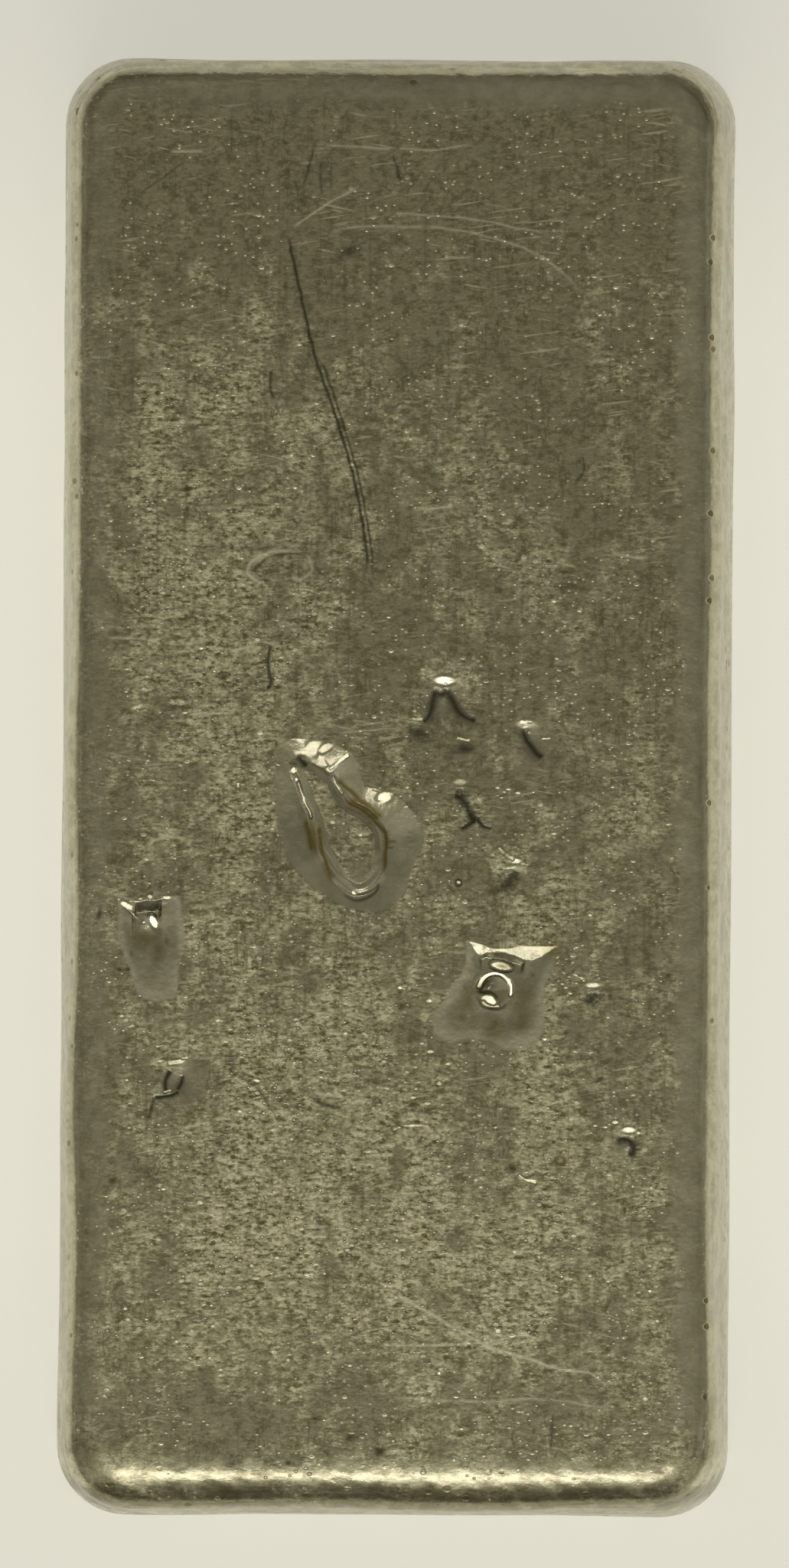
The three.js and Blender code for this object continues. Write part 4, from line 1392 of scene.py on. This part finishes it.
set_shader({"Metallic": 1, "Base Color": colour, "Roughness": rough, "Normal": bump})
ingot.data.materials.append(silver)
print("nodes in the silver:", len(tree.nodes))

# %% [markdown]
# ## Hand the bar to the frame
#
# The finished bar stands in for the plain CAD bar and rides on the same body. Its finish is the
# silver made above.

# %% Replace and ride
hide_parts("ingot")
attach(ingot, "root")

# %% [markdown]
# ## The floor
#
# The bar lies on pale paper. Paper in a bright room would come out grey beside a lit bar, so what the
# camera and the metal see of it is lifted by a little glow. The bar's own light doesn't change. Towards
# the ends the paper is painted darker, as painted shade, most on the far side. The metal sees the glow
# only close by, so that the outer part of the shoulders stays dark.

# %% Pale paper
PAPER = (0.755, 0.745, 0.672, 1)
PAPER_SHADED = (0.63, 0.624, 0.578, 1)
GLOW = 0.66
END_FADE, FAR_FADE, CLOSE_BY = (0.012, 0.032), (0, 0.020), (0.070, 0.025)
bpy.ops.mesh.primitive_plane_add(size=3)
floor = bpy.context.object
floor.name = "table_top"
paper = bpy.data.materials.new("pale_paper")
paper.use_nodes = True
tree = paper.node_tree
floor_x, floor_y, _ = axes(put("TexCoord").outputs["Object"])
# the paper is painted darker towards the ends, most on the far side, as painted shade
far_shade = plus(times(step(floor_y, *FAR_FADE), 0.48), 0.52)
end_shade = times(step(calc("ABSOLUTE", floor_y), *END_FADE), far_shade)
paper_colour = blend(end_shade, PAPER, PAPER_SHADED)
path = put("LightPath").outputs
close_by = step(calc("ABSOLUTE", floor_x), *CLOSE_BY)
seen = plus(path["Is Camera Ray"], times(path["Is Glossy Ray"], close_by), path["Is Transmission Ray"])
set_shader({"Base Color": paper_colour, "Roughness": 1, "Specular IOR Level": 0})
set_shader({"Emission Color": paper_colour, "Emission Strength": times(seen, GLOW)})
floor.data.materials.append(paper)
print("floor in metres:", floor.dimensions[:2])

# %% [markdown]
# ## Light
#
# One soft box hangs high on the near side. A metal face seen from straight above mirrors the ceiling,
# and only what is tilted towards the near side mirrors the box, so the box draws the bright corners of
# the marks and the long light on the near shoulder.

# %% Soft box
BOX = Vector((0, -0.225, 0.390))
BOX_SIZE = (0.19, 0.15)
RADIANCE = 2.25
bpy.ops.object.light_add(type="AREA", location=BOX)
lamp = bpy.context.object
lamp.data.shape = "RECTANGLE"
lamp.data.size, lamp.data.size_y = BOX_SIZE
lamp.data.energy = RADIANCE * pi * BOX_SIZE[0] * BOX_SIZE[1]
lamp.data.color = (1, 0.97, 0.9)
lamp.rotation_euler = (-BOX).to_track_quat("-Z", "Y").to_euler()
print("lamp power in watts:", round(lamp.data.energy, 3))

# %% [markdown]
# The room is what the metal mirrors most. It is dim towards the horizon and dimmer on the far side
# than on the near side, with pale walls left and right. A direction is a wall's where X squared is
# close to 1. Each change below is from one place to another, and from one brightness to another.

# %% Room
CEILING = (0.34, 0.323, 0.255)
WALL = (0.36, 0.35, 0.285, 1)
WALL_FROM = 0.88
NEAR_TO_FAR, FAR_RISE = (-0.12, 0.12, 1.25, 0.74), (0.12, 0.4, 0, 0.14)
HORIZON, NEAR_HORIZON = (0, 0.7, 0.55, 1), (-0.95, -0.7, 0.6, 1)


def slide(value, change):
    """Slides evenly from one brightness to another."""
    return put("MapRange", enumerate((value, *change))).outputs["Result"]


world = bpy.data.worlds.new("room")
bpy.context.scene.world = world
world.use_nodes = True
tree = world.node_tree
ray_x, ray_y, ray_z = axes(put("TexCoord").outputs["Generated"])
far = plus(slide(ray_y, NEAR_TO_FAR), slide(ray_y, FAR_RISE))
dim = times(times(slide(ray_z, HORIZON), slide(ray_y, NEAR_HORIZON)), far)
ceiling = put("VectorMath", {0: CEILING, "Scale": dim}, operation="SCALE").outputs[0]
sideways = step(times(ray_x, ray_x), WALL_FROM, 1)
feed(tree.nodes["Background"].inputs["Color"], blend(sideways, ceiling, WALL))
print("nodes in the room:", len(tree.nodes))

# %% [markdown]
# ## Camera
#
# The camera looks straight down from 30 cm, a hair to the right and turned by a third of a degree. A
# long lens frames the bar with a little floor round it.

# %% Camera
EYE = Vector((0.0048, -0.00175, 0.300))
TARGET = Vector((-0.000086, 0.000118, 0))
ROLL = radians(0.30)
VIEW_HEIGHT = 0.0539
SENSOR = 36
bpy.ops.object.camera_add()
camera = bpy.context.object
forward = (TARGET - EYE).normalized()
right = forward.cross(Vector((-sin(ROLL), cos(ROLL), 0))).normalized()
up = right.cross(forward)
camera.matrix_world = Matrix.Translation(EYE) @ Matrix((right, up, -forward)).transposed().to_4x4()
camera.data.lens = SENSOR * EYE.z / VIEW_HEIGHT
camera.data.clip_start = 0.01
bpy.context.scene.camera = camera
bpy.context.scene.view_settings.view_transform = "Standard"
print("lens in millimetres:", round(camera.data.lens, 1))
